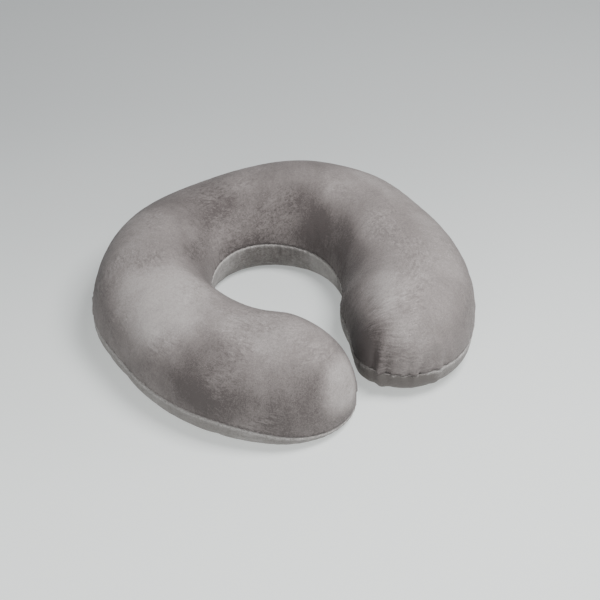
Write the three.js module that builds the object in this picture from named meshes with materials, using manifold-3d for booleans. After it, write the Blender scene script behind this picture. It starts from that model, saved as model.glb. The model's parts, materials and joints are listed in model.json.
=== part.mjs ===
// A moulded memory foam neck pillow: a nearly closed U with a low back and two full arms.
// Millimetres, +Z up. The back of the neck rests at +Y and the arms meet in front, at -Y.
// Foam core, sewn liner round it, and a removable velour cover with a zip low on its back.
import * as THREE from "three";
import { mergeVertices } from "three/addons/utils/BufferGeometryUtils.js";
import Module from "manifold-3d";

const wasm = await Module();
wasm.setup();

// ---- the moulded form: sizes against the angle round the ring, 0 at the back ----
const RING_CENTRE_Y = -11.3; // centre of the ring's arcs, measured from the part's origin
const TIP_ANGLE = 177.4;
const CAP_ANGLE = 34; // the last stretch of each arm, over which it rounds off
const CAP_POWER = 1.9;
const CAP_LEAN = -0.37; // the arm's end leans to the inside of the ring
const CAP_DROOP = 1.12;
const BACK_RADIUS = 148;
const OUTER_RADIUS = [[0, 148], [30, 148], [62, 148], [90, 140], [135, 142.5], [TIP_ANGLE, 145]];
const INNER_RADIUS = [[0, 68], [45, 60], [90, 46.5], [135, 40.5], [TIP_ANGLE, 60]];
const CROWN_HEIGHT = [[0, 64], [45, 75], [90, 74.5], [135, 75], [TIP_ANGLE, 88]];
const OUTER_SEAM_HEIGHT = [[0, 25], [30, 25], [62, 25], [110, 23.5], [TIP_ANGLE, 24]];
const INNER_SEAM_HEIGHT = [[0, 29], [90, 24], [TIP_ANGLE, 23]];
// at the left tip the cover has slipped down, so its seam runs under the arm
const SEAM_SLIP = { from: 122, to: 172, outer: 17, inner: 10, tuck: 4 };
const CREST_SKEW = [[0, 0], [90, -0.18], [TIP_ANGLE, 0.1]]; // share of the half width
const OUTER_CROWN_POWER = 2.15;
const INNER_CROWN_POWER = 1.75;
const OUTER_UNDERCUT = 24; // width of the rounded lower corner
const INNER_UNDERCUT = 14.5;
const UNDERCUT_POWER = 2.45;
const CORNER_SHARE = 0.4; // of the lower outline, for each rounded corner
const CORNER_LIMIT = 0.95; // a corner takes at most this share of the half width
const BASE_LIFT_POWER = 0.4; // how late the flat base lifts off at a tip

// ---- layers, as depths below the cover's outer face ----
const COVER = { outer: 0, inner: 1.6 };
const LINER = { outer: 2.8, inner: 3.4 };
const FOAM_DEPTH = 3.7;
const COVER_SEAM = 0.85; // from the seam's line to each panel's edge
const LINER_SEAM = 0.6;
const COVER_THREAD = { half: 0.45, outer: 0.3, inner: 1.2 };
const LINER_THREAD = { half: 0.25, outer: 2.85, inner: 3.35 };

// ---- the zip, along the back's outer seam ----
const ZIP_STEP = 5.4; // degrees; the slider is parked in the middle of the last step
const ZIP_END = 54;
const ZIP_MOUTH_END = 55.6; // here the cover's edges start to close in
const ZIP_CLOSED_END = 57.6; // and here they meet
const ZIP_HALF_MOUTH = 5.4;
const CHAIN = { near: 0.6, far: 2.4, outer: -1.2, inner: 0.2, end: 53.6 };
const TAPE_END = 55.2;
const TAPE_ROWS = [[0.6, 0.5], [4.1, 0.5], [5.0, 1.9], [12.5, 1.9]]; // from the seam, depth
const TAPE_THICKNESS = 0.45;
const STITCH = { near: 7.3, far: 7.9, outer: -0.6, inner: -0.3 };
const TOP_STOP = { near: 0.6, far: 3.4, outer: -1.4, inner: 0.2, start: 54, end: 54.8 };
const BOTTOM_STOP = { half: 3.2, outer: -1.4, inner: 0.2, start: 54, end: 54.9 };
const BAR_TACK = { half: 5.5, outer: -0.9, inner: -0.3, start: 57.9, end: 58.7 };

// ---- slider and pull: x along the chain, y outward from the seam, z up ----
const SLIDER_ANGLE = ZIP_END - ZIP_STEP / 2;
const SLIDER = { length: 12, height: 7.6, tail: 6, lip: 0.9, shoulder: 1, tailCorner: 1.4 };
const ROOT = 0.2; // how far joined metal reaches into its plate
const TOP_PLATE = { from: 1.6, to: 2.8 };
const BOTTOM_PLATE = { from: -2.45, to: -1.55 };
const LIP_FROM = -0.1;
const DIVIDER = { start: 2.4, end: 5.4, thickness: 0.6 };
const BAIL = { half: 2.7, window: 1.5, width: 1.6, under: 4.75, top: 5.75 };
const PULL = { axis: 3.75, thickness: 1.1, width: 5.8, length: 21, eyeEnd: 3.6, eyeHalf: 1.4 };

// ---- care label, sewn in under the cover beside the zip ----
const LABEL = { station: 2, near: 2.2, length: 22, outer: 1.95, inner: 2.3 };

// ---- mesh fineness ----
const ARM_STEPS = 11;
const CAP_STEPS = 6;
const TOP_ROWS = 8;
const BOTTOM_ROWS = 7;
const FIRST_ROW = { distance: 13, share: 0.16, inner: 0.8 }; // beside the seams
const SEAM_LIMIT = 0.1; // a seam takes at most this share of an outline
const OUTLINE_POINTS = 96;
const NUDGE = 0.002;
const NORMAL_STEP = 0.4;

const radians = THREE.MathUtils.degToRad;

/** A smooth curve through [angle, value] stops, level at the back and at every turn. */
function curveThrough(stops) {
  const steepness = (i) => (stops[i][1] - stops[i - 1][1]) / (stops[i][0] - stops[i - 1][0]);
  const slopes = stops.map((stop, i) => {
    if (i === 0) return 0;
    if (i === stops.length - 1) return steepness(i);
    const turns = steepness(i) * steepness(i + 1) <= 0;
    return turns ? 0 : (steepness(i) + steepness(i + 1)) / 2;
  });
  return (angle) => {
    const last = stops.length - 2;
    const found = stops.findIndex((stop) => angle < stop[0]);
    const i = found < 0 ? last : THREE.MathUtils.clamp(found - 1, 0, last);
    const [a0, v0] = stops[i];
    const [a1, v1] = stops[i + 1];
    const span = a1 - a0;
    const t = (angle - a0) / span;
    const ease = t * t * (3 - 2 * t);
    const lift = t * (1 - t) * span * ((1 - t) * slopes[i] - t * slopes[i + 1]);
    return v0 + (v1 - v0) * ease + lift;
  };
}

const form = {
  outer: curveThrough(OUTER_RADIUS),
  inner: curveThrough(INNER_RADIUS),
  crown: curveThrough(CROWN_HEIGHT),
  outerSeam: curveThrough(OUTER_SEAM_HEIGHT),
  innerSeam: curveThrough(INNER_SEAM_HEIGHT),
  skew: curveThrough(CREST_SKEW),
};

/** Sizes of the cross section at an angle round the ring, in degrees. */
function sectionAt(angle) {
  const round = Math.min(Math.abs(angle), TIP_ANGLE);
  const along = THREE.MathUtils.clamp((round - TIP_ANGLE + CAP_ANGLE) / CAP_ANGLE, 0, 1);
  const close = Math.pow(Math.max(1 - Math.pow(along, CAP_POWER), 1e-6), 1 / CAP_POWER);
  const slip = THREE.MathUtils.smoothstep(-angle, SEAM_SLIP.from, SEAM_SLIP.to);
  const half = (form.outer(round) - SEAM_SLIP.tuck * slip - form.inner(round)) / 2;
  const outerSeam = form.outerSeam(round) - SEAM_SLIP.outer * slip;
  const innerSeam = form.innerSeam(round) - SEAM_SLIP.inner * slip;
  const seamMiddle = (outerSeam + innerSeam) / 2;
  return {
    close,
    halfWidth: half * close,
    middle: form.inner(round) + half + CAP_LEAN * half * (1 - close),
    outerSeam: seamMiddle + (outerSeam - seamMiddle) * close,
    innerSeam: seamMiddle + (innerSeam - seamMiddle) * close,
    rise: (form.crown(round) - seamMiddle) * Math.pow(close, CAP_DROOP),
    skew: form.skew(round),
  };
}

/** The upper outline of a section, t from 0 at the outer seam to 1 at the inner seam. */
function topOutline(section, t) {
  const across = Math.cos(Math.PI * t);
  const power = across >= 0 ? OUTER_CROWN_POWER : INNER_CROWN_POWER;
  const reach = Math.pow(Math.abs(across), 2 / power);
  const lift = Math.pow(Math.max(Math.sin(Math.PI * t), 0), 2 / power);
  const share = across >= 0
    ? section.skew + (1 - section.skew) * reach
    : section.skew - (1 + section.skew) * reach;
  const base = THREE.MathUtils.lerp(section.innerSeam, section.outerSeam, (1 + share) / 2);
  return [section.middle + share * section.halfWidth, base + section.rise * lift];
}

/** The lower outline, from the outer seam, under the flat base, to the inner seam. */
function bottomOutline(section, t) {
  const lift = Math.pow(section.close, BASE_LIFT_POWER);
  const outerInset = Math.min(OUTER_UNDERCUT, section.halfWidth * CORNER_LIMIT);
  const innerInset = Math.min(INNER_UNDERCUT, section.halfWidth * CORNER_LIMIT);
  const turn = Math.min(1, Math.min(t, 1 - t) / CORNER_SHARE) * Math.PI / 2;
  const inward = 1 - Math.pow(Math.max(Math.cos(turn), 0), 2 / UNDERCUT_POWER);
  const drop = 1 - Math.pow(Math.sin(turn), 2 / UNDERCUT_POWER) * lift;
  if (t <= CORNER_SHARE) {
    return [section.middle + section.halfWidth - outerInset * inward, section.outerSeam * drop];
  }
  if (t >= 1 - CORNER_SHARE) {
    return [section.middle - section.halfWidth + innerInset * inward, section.innerSeam * drop];
  }
  const share = (t - CORNER_SHARE) / (1 - 2 * CORNER_SHARE);
  const radius = THREE.MathUtils.lerp(
    section.middle + section.halfWidth - outerInset,
    section.middle - section.halfWidth + innerInset,
    share,
  );
  const level = THREE.MathUtils.lerp(section.outerSeam, section.innerSeam, share);
  return [radius, level * (1 - lift)];
}

const outlineCache = new Map();

/** Points of one half outline with their distance from the outer seam. */
function measuredOutline(half, angle) {
  const key = `${half} ${angle}`;
  if (!outlineCache.has(key)) {
    const section = sectionAt(angle);
    const outline = half === "top" ? topOutline : bottomOutline;
    const points = [];
    let length = 0;
    for (let i = 0; i <= OUTLINE_POINTS; i++) {
      // closer together near both seams, where the outline turns fastest
      const t = (1 - Math.cos(Math.PI * i / OUTLINE_POINTS)) / 2;
      const [radius, z] = outline(section, t);
      if (i > 0) length += Math.hypot(radius - points[i - 1].radius, z - points[i - 1].z);
      points.push({ radius, z, length });
    }
    outlineCache.set(key, points);
  }
  return outlineCache.get(key);
}

/** A point of the cover's outer face, a given distance along an outline. */
function facePoint(half, angle, distance) {
  const points = measuredOutline(half, angle);
  const total = points[OUTLINE_POINTS].length;
  const wanted = THREE.MathUtils.clamp(distance, 0, total);
  let i = 1;
  while (i < OUTLINE_POINTS && points[i].length < wanted) i++;
  const a = points[i - 1];
  const b = points[i];
  const share = (wanted - a.length) / Math.max(b.length - a.length, 1e-9);
  const radius = THREE.MathUtils.lerp(a.radius, b.radius, share);
  const z = THREE.MathUtils.lerp(a.z, b.z, share);
  const turn = radians(angle);
  return new THREE.Vector3(radius * Math.sin(turn), radius * Math.cos(turn), z);
}

const outlineLength = (half, angle) => measuredOutline(half, angle)[OUTLINE_POINTS].length;

/** A point at a depth under the outer face, along the face's normal. */
function layerPoint(half, angle, distance, depth) {
  const total = outlineLength(half, angle);
  const share = distance / total;
  const step = NUDGE * 180 / Math.PI;
  const inward = Math.sign(angle) || 1;
  const before = angle - inward * step;
  const after = Math.abs(angle + inward * step) < TIP_ANGLE ? angle + inward * step : angle;
  const a = facePoint(half, before, share * outlineLength(half, before));
  const b = facePoint(half, after, share * outlineLength(half, after));
  const low = facePoint(half, angle, Math.max(distance - NORMAL_STEP, 0));
  const high = facePoint(half, angle, Math.min(distance + NORMAL_STEP, total));
  const normal = b.sub(a).cross(high.sub(low)).normalize();
  if (inward * (half === "top" ? 1 : -1) < 0) normal.negate();
  const point = facePoint(half, angle, distance);
  if (half === "bottom" && point.z < 1e-6) normal.set(0, 0, 1);
  return point.addScaledVector(normal, depth);
}

/** The very tip of an arm: the point where both seams meet, moved up and in. */
function tipPoint(side, rise, depth) {
  const section = sectionAt(side * TIP_ANGLE);
  const turn = radians(side * TIP_ANGLE);
  const back = new THREE.Vector3(-Math.cos(turn) * side, Math.sin(turn) * side, 0);
  const tip = new THREE.Vector3(
    section.middle * Math.sin(turn), section.middle * Math.cos(turn), section.outerSeam + rise,
  );
  return tip.addScaledVector(back, depth);
}

/** Sweeps closed outlines, each a list of points, into one solid. */
function sweep(outlines, closed = false) {
  const size = outlines[0].length;
  const positions = outlines.flat().flatMap((point) => [point.x, point.y, point.z]);
  const triangles = [];
  const add = (a, b, c) => triangles.push([a, b, c]);
  const last = closed ? outlines.length : outlines.length - 1;
  for (let i = 0; i < last; i++) {
    const here = i * size;
    const next = ((i + 1) % outlines.length) * size;
    for (let j = 0; j < size; j++) {
      const k = (j + 1) % size;
      // both faces of a sheet are split along the same diagonal, so layers stay parallel
      if (j < size / 2) {
        add(here + j, next + j, here + k);
        add(here + k, next + j, next + k);
      } else {
        add(here + j, next + j, next + k);
        add(here + j, next + k, here + k);
      }
    }
  }
  if (!closed) {
    const end = (outlines.length - 1) * size;
    for (let j = 0; j < size / 2 - 1; j++) {
      const across = size - 1 - j;
      add(j, j + 1, across);
      add(across, j + 1, across - 1);
      add(end + j, end + across, end + j + 1);
      add(end + across, end + across - 1, end + j + 1);
    }
  }
  return closedGeometry(positions, triangles);
}

/** Merges equal vertices, drops collapsed triangles and turns the faces outward. */
function closedGeometry(positions, triangles) {
  const loose = new THREE.BufferGeometry();
  loose.setAttribute("position", new THREE.Float32BufferAttribute(positions, 3));
  loose.setIndex(triangles.flat());
  const merged = mergeVertices(loose, 1e-4);
  const index = merged.index.array;
  const place = merged.attributes.position;
  const kept = [];
  let volume = 0;
  const [a, b, c] = [new THREE.Vector3(), new THREE.Vector3(), new THREE.Vector3()];
  for (let i = 0; i < index.length; i += 3) {
    const [p, q, r] = [index[i], index[i + 1], index[i + 2]];
    if (p === q || q === r || r === p) continue;
    kept.push(p, q, r);
    volume += a.fromBufferAttribute(place, p)
      .dot(b.fromBufferAttribute(place, q).cross(c.fromBufferAttribute(place, r)));
  }
  if (volume < 0) kept.reverse();
  merged.setIndex(kept);
  return merged;
}

/** Angles of the stations, from one tip to the other, without the tips themselves. */
function stationAngles() {
  const half = [];
  for (let angle = 0; angle < ZIP_END - 1; angle += ZIP_STEP) half.push(angle);
  half.push(ZIP_END, ZIP_MOUTH_END, ZIP_CLOSED_END);
  const capStart = TIP_ANGLE - CAP_ANGLE;
  for (let i = 1; i <= ARM_STEPS; i++) {
    half.push(THREE.MathUtils.lerp(ZIP_CLOSED_END, capStart, i / ARM_STEPS));
  }
  for (let i = 1; i < CAP_STEPS; i++) {
    half.push(capStart + CAP_ANGLE * Math.sin(Math.PI / 2 * i / CAP_STEPS));
  }
  return [...half.slice(1).reverse().map((angle) => -angle), ...half];
}

const stations = stationAngles();

/** Half of the cover's opening at the outer seam: wide along the zip, else just a seam. */
function zipMouth(angle, seam) {
  const closing = ZIP_CLOSED_END - ZIP_MOUTH_END;
  const share = THREE.MathUtils.clamp((ZIP_CLOSED_END - Math.abs(angle)) / closing, 0, 1);
  return THREE.MathUtils.lerp(seam, ZIP_HALF_MOUTH, share);
}

/** Distances along a half outline where a panel has its rows, edge to edge. */
function panelRows(half, angle, outerEdge, innerEdge) {
  const total = outlineLength(half, angle);
  const rows = half === "top" ? TOP_ROWS : BOTTOM_ROWS;
  const start = Math.min(FIRST_ROW.distance, total * FIRST_ROW.share);
  const end = total - start * FIRST_ROW.inner;
  const distances = [Math.min(outerEdge, total * SEAM_LIMIT), start];
  for (let i = 1; i < rows - 1; i++) {
    distances.push(THREE.MathUtils.lerp(start, end, i / (rows - 2)));
  }
  return [...distances, total - Math.min(innerEdge, total * SEAM_LIMIT)];
}

/** A sewn panel, the upper or the lower half of a bag, from seam to seam. */
function panel(half, layer, seam, openAtZip) {
  const rise = half === "top" ? seam : -seam;
  const tip = (side, count) => [
    ...Array(count).fill(tipPoint(side, rise, layer.outer)),
    ...Array(count).fill(tipPoint(side, rise, layer.inner)),
  ];
  const outlines = stations.map((angle) => {
    const mouth = openAtZip ? zipMouth(angle, seam) : seam;
    const rows = panelRows(half, angle, mouth, seam);
    const face = (depth) => rows.map((distance) => layerPoint(half, angle, distance, depth));
    return [...face(layer.outer), ...face(layer.inner).reverse()];
  });
  const count = outlines[0].length / 2;
  return sweep([tip(-1, count), ...outlines, tip(1, count)]);
}

/** The foam core: one moulded piece, rounded off at both tips. */
function foamCore() {
  const ring = (angle) => {
    const top = panelRows("top", angle, 0, 0);
    const bottom = panelRows("bottom", angle, 0, 0).slice(1, -1);
    return [
      ...top.map((distance) => layerPoint("top", angle, distance, FOAM_DEPTH)),
      ...bottom.map((distance) => layerPoint("bottom", angle, distance, FOAM_DEPTH)).reverse(),
    ];
  };
  const rings = stations.map(ring);
  const tip = (side) => Array(rings[0].length).fill(tipPoint(side, 0, FOAM_DEPTH));
  return sweep([tip(-1), ...rings, tip(1)]);
}

/** A point beside a seam: rise is the distance above it, or below it when negative. */
function besideSeam(side, angle, rise, depth) {
  const half = rise >= 0 ? "top" : "bottom";
  const distance = Math.abs(rise);
  const from = side === "outer" ? distance : outlineLength(half, angle) - distance;
  return layerPoint(half, angle, from, depth);
}

/** Four corners of a thread laid in a seam, at one point of its run. */
function threadCorners(corner, thread) {
  return [
    corner(thread.half, thread.outer),
    corner(-thread.half, thread.outer),
    corner(-thread.half, thread.inner),
    corner(thread.half, thread.inner),
  ];
}

/** The thread of a perimeter seam: out along one arm, round its tip and back inside. */
function seamThread(thread, startAngle) {
  const outer = stations.filter((angle) => angle > startAngle);
  const run = (side, angles) => angles.map((angle) => threadCorners(
    (rise, depth) => besideSeam(side, angle, rise, depth), thread,
  ));
  const tip = (side) => threadCorners((rise, depth) => tipPoint(side, rise, depth), thread);
  const closed = startAngle < 0;
  const inside = run("inner", [...stations].reverse());
  const left = stations.filter((angle) => angle < -Math.abs(startAngle));
  return sweep([...run("outer", outer), tip(1), ...inside, tip(-1), ...run("outer", left)], closed);
}

/** A strip beside the outer seam between two angles; rows are [rise, outer, inner depth]. */
function seamStrip(start, end, rows) {
  const inside = stations.filter((angle) => angle > start + 0.2 && angle < end - 0.2);
  return sweep([start, ...inside, end].map((angle) => [
    ...rows.map(([rise, outer]) => besideSeam("outer", angle, rise, outer)),
    ...rows.map(([rise, , inner]) => besideSeam("outer", angle, rise, inner)).reverse(),
  ]));
}

/** A strip with one thickness all over, above the seam (side 1) or below it (side -1). */
function sideStrip(side, start, end, size) {
  return seamStrip(start, end, [
    [side * size.near, size.outer, size.inner],
    [side * size.far, size.outer, size.inner],
  ]);
}

/** A zip tape: level with the chain beside it, then tucked under the cover's edge. */
function zipTape(side) {
  return seamStrip(-TAPE_END, TAPE_END, TAPE_ROWS.map(([rise, depth]) => (
    [side * rise, depth, depth + TAPE_THICKNESS]
  )));
}

/** A strip across the seam, from below it to above it. */
function crossStrip(start, end, size) {
  return seamStrip(start, end, [
    [-size.half, size.outer, size.inner],
    [-0.01, size.outer, size.inner],
    [size.half, size.outer, size.inner],
  ]);
}

/** The blank care label: its edge is in the outer seam, and it lies inside the lower panel. */
function careLabel() {
  const first = stations.findIndex((angle) => angle >= -ZIP_CLOSED_END) - LABEL.station;
  return sweep([stations[first], stations[first + 1]].map((angle) => {
    const rows = panelRows("bottom", angle, COVER_SEAM, COVER_SEAM);
    const onFacet = (distance, depth) => {
      const i = rows.findIndex((row) => row > distance);
      const share = (distance - rows[i - 1]) / (rows[i] - rows[i - 1]);
      const start = layerPoint("bottom", angle, rows[i - 1], depth);
      return start.lerp(layerPoint("bottom", angle, rows[i], depth), share);
    };
    const distances = [LABEL.near, rows[1], LABEL.near + LABEL.length];
    const face = (depth) => distances.map((distance) => onFacet(distance, depth));
    return [...face(LABEL.outer), ...face(LABEL.inner).reverse()];
  }));
}

/** Turns a three.js geometry into a solid for cutting and joining. */
function toSolid(geometry) {
  const bare = geometry.clone();
  bare.deleteAttribute("normal");
  bare.deleteAttribute("uv");
  const merged = mergeVertices(bare, 1e-4);
  const indices = merged.index ? merged.index.array : [...Array(merged.attributes.position.count).keys()];
  return new wasm.Manifold(new wasm.Mesh({
    numProp: 3,
    vertProperties: new Float32Array(merged.attributes.position.array),
    triVerts: new Uint32Array(indices),
  }));
}

function toGeometry(solid) {
  const mesh = solid.getMesh();
  const geometry = new THREE.BufferGeometry();
  geometry.setAttribute("position", new THREE.Float32BufferAttribute(mesh.vertProperties, 3));
  geometry.setIndex([...mesh.triVerts]);
  return geometry;
}

/** A block between two corners, as a solid. */
function block(low, high) {
  const geometry = new THREE.BoxGeometry(high[0] - low[0], high[1] - low[1], high[2] - low[2]);
  geometry.translate((low[0] + high[0]) / 2, (low[1] + high[1]) / 2, (low[2] + high[2]) / 2);
  return toSolid(geometry);
}

/** A plate from an outline in x and z, between two values of y. */
function plate(outline, from, to) {
  const geometry = new THREE.ExtrudeGeometry(outline, {
    depth: to - from, bevelEnabled: false, curveSegments: 5,
  });
  geometry.rotateX(Math.PI / 2);
  geometry.translate(0, to, 0);
  return toSolid(geometry);
}

/** The slider's plate seen from outside: square shoulders at the nose, a round tail. */
function sliderOutline() {
  const half = SLIDER.height / 2;
  const nose = SLIDER.length / 2;
  const { shoulder, tailCorner } = SLIDER;
  const tail = SLIDER.tail / 2;
  const outline = new THREE.Shape();
  outline.moveTo(nose - shoulder, -half);
  outline.quadraticCurveTo(nose, -half, nose, -half + shoulder);
  outline.lineTo(nose, half - shoulder);
  outline.quadraticCurveTo(nose, half, nose - shoulder, half);
  outline.lineTo(0, half);
  outline.quadraticCurveTo(-nose, half, -nose, tail - tailCorner);
  outline.lineTo(-nose, -tail + tailCorner);
  outline.quadraticCurveTo(-nose, -half, 0, -half);
  outline.closePath();
  return outline;
}

/** The slider: two plates held together at the nose by the divider, and a bail on top. */
function sliderBody() {
  const half = SLIDER.height / 2;
  const nose = SLIDER.length / 2;
  const divider = DIVIDER.thickness / 2;
  const rail = (side) => block(
    [-SLIDER.shoulder, LIP_FROM, side > 0 ? half - SLIDER.lip : -half],
    [nose - SLIDER.shoulder, TOP_PLATE.to, side > 0 ? half : -half + SLIDER.lip],
  );
  const bail = block(
    [-BAIL.half, TOP_PLATE.from + ROOT, -BAIL.width / 2], [BAIL.half, BAIL.top, BAIL.width / 2],
  ).subtract(block([-BAIL.window, TOP_PLATE.to, -half], [BAIL.window, BAIL.under, half]));
  const outline = sliderOutline();
  return toGeometry(
    plate(outline, TOP_PLATE.from, TOP_PLATE.to)
      .add(plate(outline, BOTTOM_PLATE.from, BOTTOM_PLATE.to))
      .add(rail(1))
      .add(rail(-1))
      .add(bail)
      .add(block(
        [DIVIDER.start, BOTTOM_PLATE.from + ROOT, -divider],
        [DIVIDER.end, TOP_PLATE.from + ROOT, divider],
      )),
  );
}

/** The pull tab, lying back along the closed chain, with the eye that hooks the bail. */
function pullTab() {
  const half = PULL.width / 2;
  const thick = PULL.thickness / 2;
  const outline = new THREE.Shape();
  outline.moveTo(thick, -half);
  outline.lineTo(thick, half);
  outline.lineTo(-PULL.length + half, half);
  outline.absarc(-PULL.length + half, 0, half, Math.PI / 2, 3 * Math.PI / 2, false);
  outline.closePath();
  const eye = block([-PULL.eyeEnd, -half, -PULL.eyeHalf], [-thick, half, PULL.eyeHalf]);
  return toGeometry(plate(outline, -thick, thick).subtract(eye));
}

const velour = new THREE.MeshStandardMaterial({ color: 0x9b9390, roughness: 0.95 });
const lowerVelour = new THREE.MeshStandardMaterial({ color: 0x97918d, roughness: 0.95 });
const linerCloth = new THREE.MeshStandardMaterial({ color: 0xd9d7d2, roughness: 0.9 });
const foam = new THREE.MeshStandardMaterial({ color: 0xe8e2cf, roughness: 0.9 });
const thread = new THREE.MeshStandardMaterial({ color: 0x7d7573, roughness: 0.8 });
const tape = new THREE.MeshStandardMaterial({ color: 0x77706e, roughness: 0.85 });
const nylon = new THREE.MeshStandardMaterial({ color: 0x6c6563, roughness: 0.45 });
const metal = new THREE.MeshStandardMaterial({ color: 0x6e6866, roughness: 0.35, metalness: 0.8 });
const labelCloth = new THREE.MeshStandardMaterial({ color: 0xe9e9e6, roughness: 0.7 });

const pillow = new THREE.Group();
pillow.position.y = RING_CENTRE_Y;

function addPiece(parent, name, geometry, material) {
  const mesh = new THREE.Mesh(geometry, material.clone());
  mesh.name = name;
  parent.add(mesh);
}

addPiece(pillow, "foam_core", foamCore(), foam);
addPiece(pillow, "liner_top_panel", panel("top", LINER, LINER_SEAM, false), linerCloth);
addPiece(pillow, "liner_bottom_panel", panel("bottom", LINER, LINER_SEAM, false), linerCloth);
addPiece(pillow, "liner_seam_thread", seamThread(LINER_THREAD, -1), linerCloth);
addPiece(pillow, "cover_top_panel", panel("top", COVER, COVER_SEAM, true), velour);
addPiece(pillow, "cover_bottom_panel", panel("bottom", COVER, COVER_SEAM, true), lowerVelour);
addPiece(pillow, "cover_seam_thread", seamThread(COVER_THREAD, ZIP_CLOSED_END - 0.5), thread);
for (const [name, side] of [["upper", 1], ["lower", -1]]) {
  addPiece(pillow, `zip_tape_${name}`, zipTape(side), tape);
  addPiece(pillow, `zip_coil_${name}`, sideStrip(side, -CHAIN.end, CHAIN.end, CHAIN), nylon);
  addPiece(pillow, `zip_stitching_${name}`, sideStrip(side, -ZIP_END, ZIP_END, STITCH), thread);
  const stop = sideStrip(side, TOP_STOP.start, TOP_STOP.end, TOP_STOP);
  addPiece(pillow, `zip_top_stop_${name}`, stop, metal);
}
addPiece(pillow, "zip_bottom_stop", crossStrip(-BOTTOM_STOP.end, -BOTTOM_STOP.start, BOTTOM_STOP), metal);
addPiece(pillow, "bar_tack_right", crossStrip(BAR_TACK.start, BAR_TACK.end, BAR_TACK), thread);
addPiece(pillow, "bar_tack_left", crossStrip(-BAR_TACK.end, -BAR_TACK.start, BAR_TACK), thread);
addPiece(pillow, "care_label", careLabel(), labelCloth);

const runner = new THREE.Group();
const runnerTurn = radians(SLIDER_ANGLE);
runner.position.set(
  BACK_RADIUS * Math.sin(runnerTurn), BACK_RADIUS * Math.cos(runnerTurn), form.outerSeam(0),
);
runner.rotation.z = -runnerTurn;
addPiece(runner, "zip_slider_body", sliderBody(), metal);
const pull = new THREE.Group();
pull.position.y = PULL.axis;
addPiece(pull, "zip_pull_tab", pullTab(), metal);
runner.add(pull);
pillow.add(runner);

export default pillow;
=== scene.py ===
"""A moulded memory foam neck pillow in grey-mauve velour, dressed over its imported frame.

The frame gives the bodies, the joints and where everything is. This script makes the visible
pieces: foam, liner, velour cover, seam stitches and the zip, with their finishes.
"""

import json
import logging
import math
from dataclasses import dataclass, field
from enum import Enum
from typing import Iterable, Optional, Sequence, Union

import bmesh
import bpy
import numpy as np
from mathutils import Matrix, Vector


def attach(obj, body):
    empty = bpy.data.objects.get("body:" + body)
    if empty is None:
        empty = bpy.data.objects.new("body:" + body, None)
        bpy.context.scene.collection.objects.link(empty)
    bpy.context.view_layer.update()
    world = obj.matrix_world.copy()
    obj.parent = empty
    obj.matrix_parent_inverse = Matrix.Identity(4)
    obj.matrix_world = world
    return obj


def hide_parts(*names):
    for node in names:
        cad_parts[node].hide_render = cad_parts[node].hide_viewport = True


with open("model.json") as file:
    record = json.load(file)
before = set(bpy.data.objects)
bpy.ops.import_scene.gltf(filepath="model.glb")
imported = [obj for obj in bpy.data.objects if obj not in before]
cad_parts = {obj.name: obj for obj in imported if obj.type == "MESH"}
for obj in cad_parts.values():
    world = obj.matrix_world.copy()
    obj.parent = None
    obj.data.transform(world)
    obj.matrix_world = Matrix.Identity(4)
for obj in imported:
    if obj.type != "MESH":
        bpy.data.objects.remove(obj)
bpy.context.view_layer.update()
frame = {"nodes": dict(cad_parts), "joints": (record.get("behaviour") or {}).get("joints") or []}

MM = 0.001
LOG = logging.getLogger("pillow")
Stops = tuple[tuple[float, float], ...]
Colour = tuple[float, float, float]


class Half(Enum):
    """The two halves of a section: over the crown, or under the base."""

    TOP = 1
    BOTTOM = -1


class Zone(Enum):
    """Which seam of a section a distance is measured from."""

    OUTER = "outer"
    INNER = "inner"


def eased(share: np.ndarray) -> np.ndarray:
    """Returns a share held between 0 and 1, with a soft start and a soft end."""
    share = np.clip(share, 0, 1)
    return share * share * (3 - 2 * share)


# ---------------------------------------------------------------- the moulded form


@dataclass(frozen=True)
class SizeCurve:
    """A size that changes smoothly round the ring.

    Args:
        stops: (angle in degrees, size) pairs, from the back to the tip.
    """

    stops: Stops

    def at(self, angle: np.ndarray) -> np.ndarray:
        """Reads the curve.

        Args:
            angle: where to read it, in degrees from the back.

        Returns:
            The size at each angle, in the unit of the stops.
        """
        a = np.array([s[0] for s in self.stops])
        v = np.array([s[1] for s in self.stops])
        steep = np.diff(v) / np.diff(a)
        slopes = np.zeros(len(a))
        slopes[-1] = steep[-1]
        inner = (steep[:-1] + steep[1:]) / 2
        slopes[1:-1] = np.where(steep[:-1] * steep[1:] <= 0, 0, inner)
        i = np.clip(np.searchsorted(a, angle, side="right") - 1, 0, len(a) - 2)
        span = a[i + 1] - a[i]
        t = (angle - a[i]) / span
        lift = t * (1 - t) * span * ((1 - t) * slopes[i] - t * slopes[i + 1])
        return v[i] + (v[i + 1] - v[i]) * t * t * (3 - 2 * t) + lift


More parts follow.
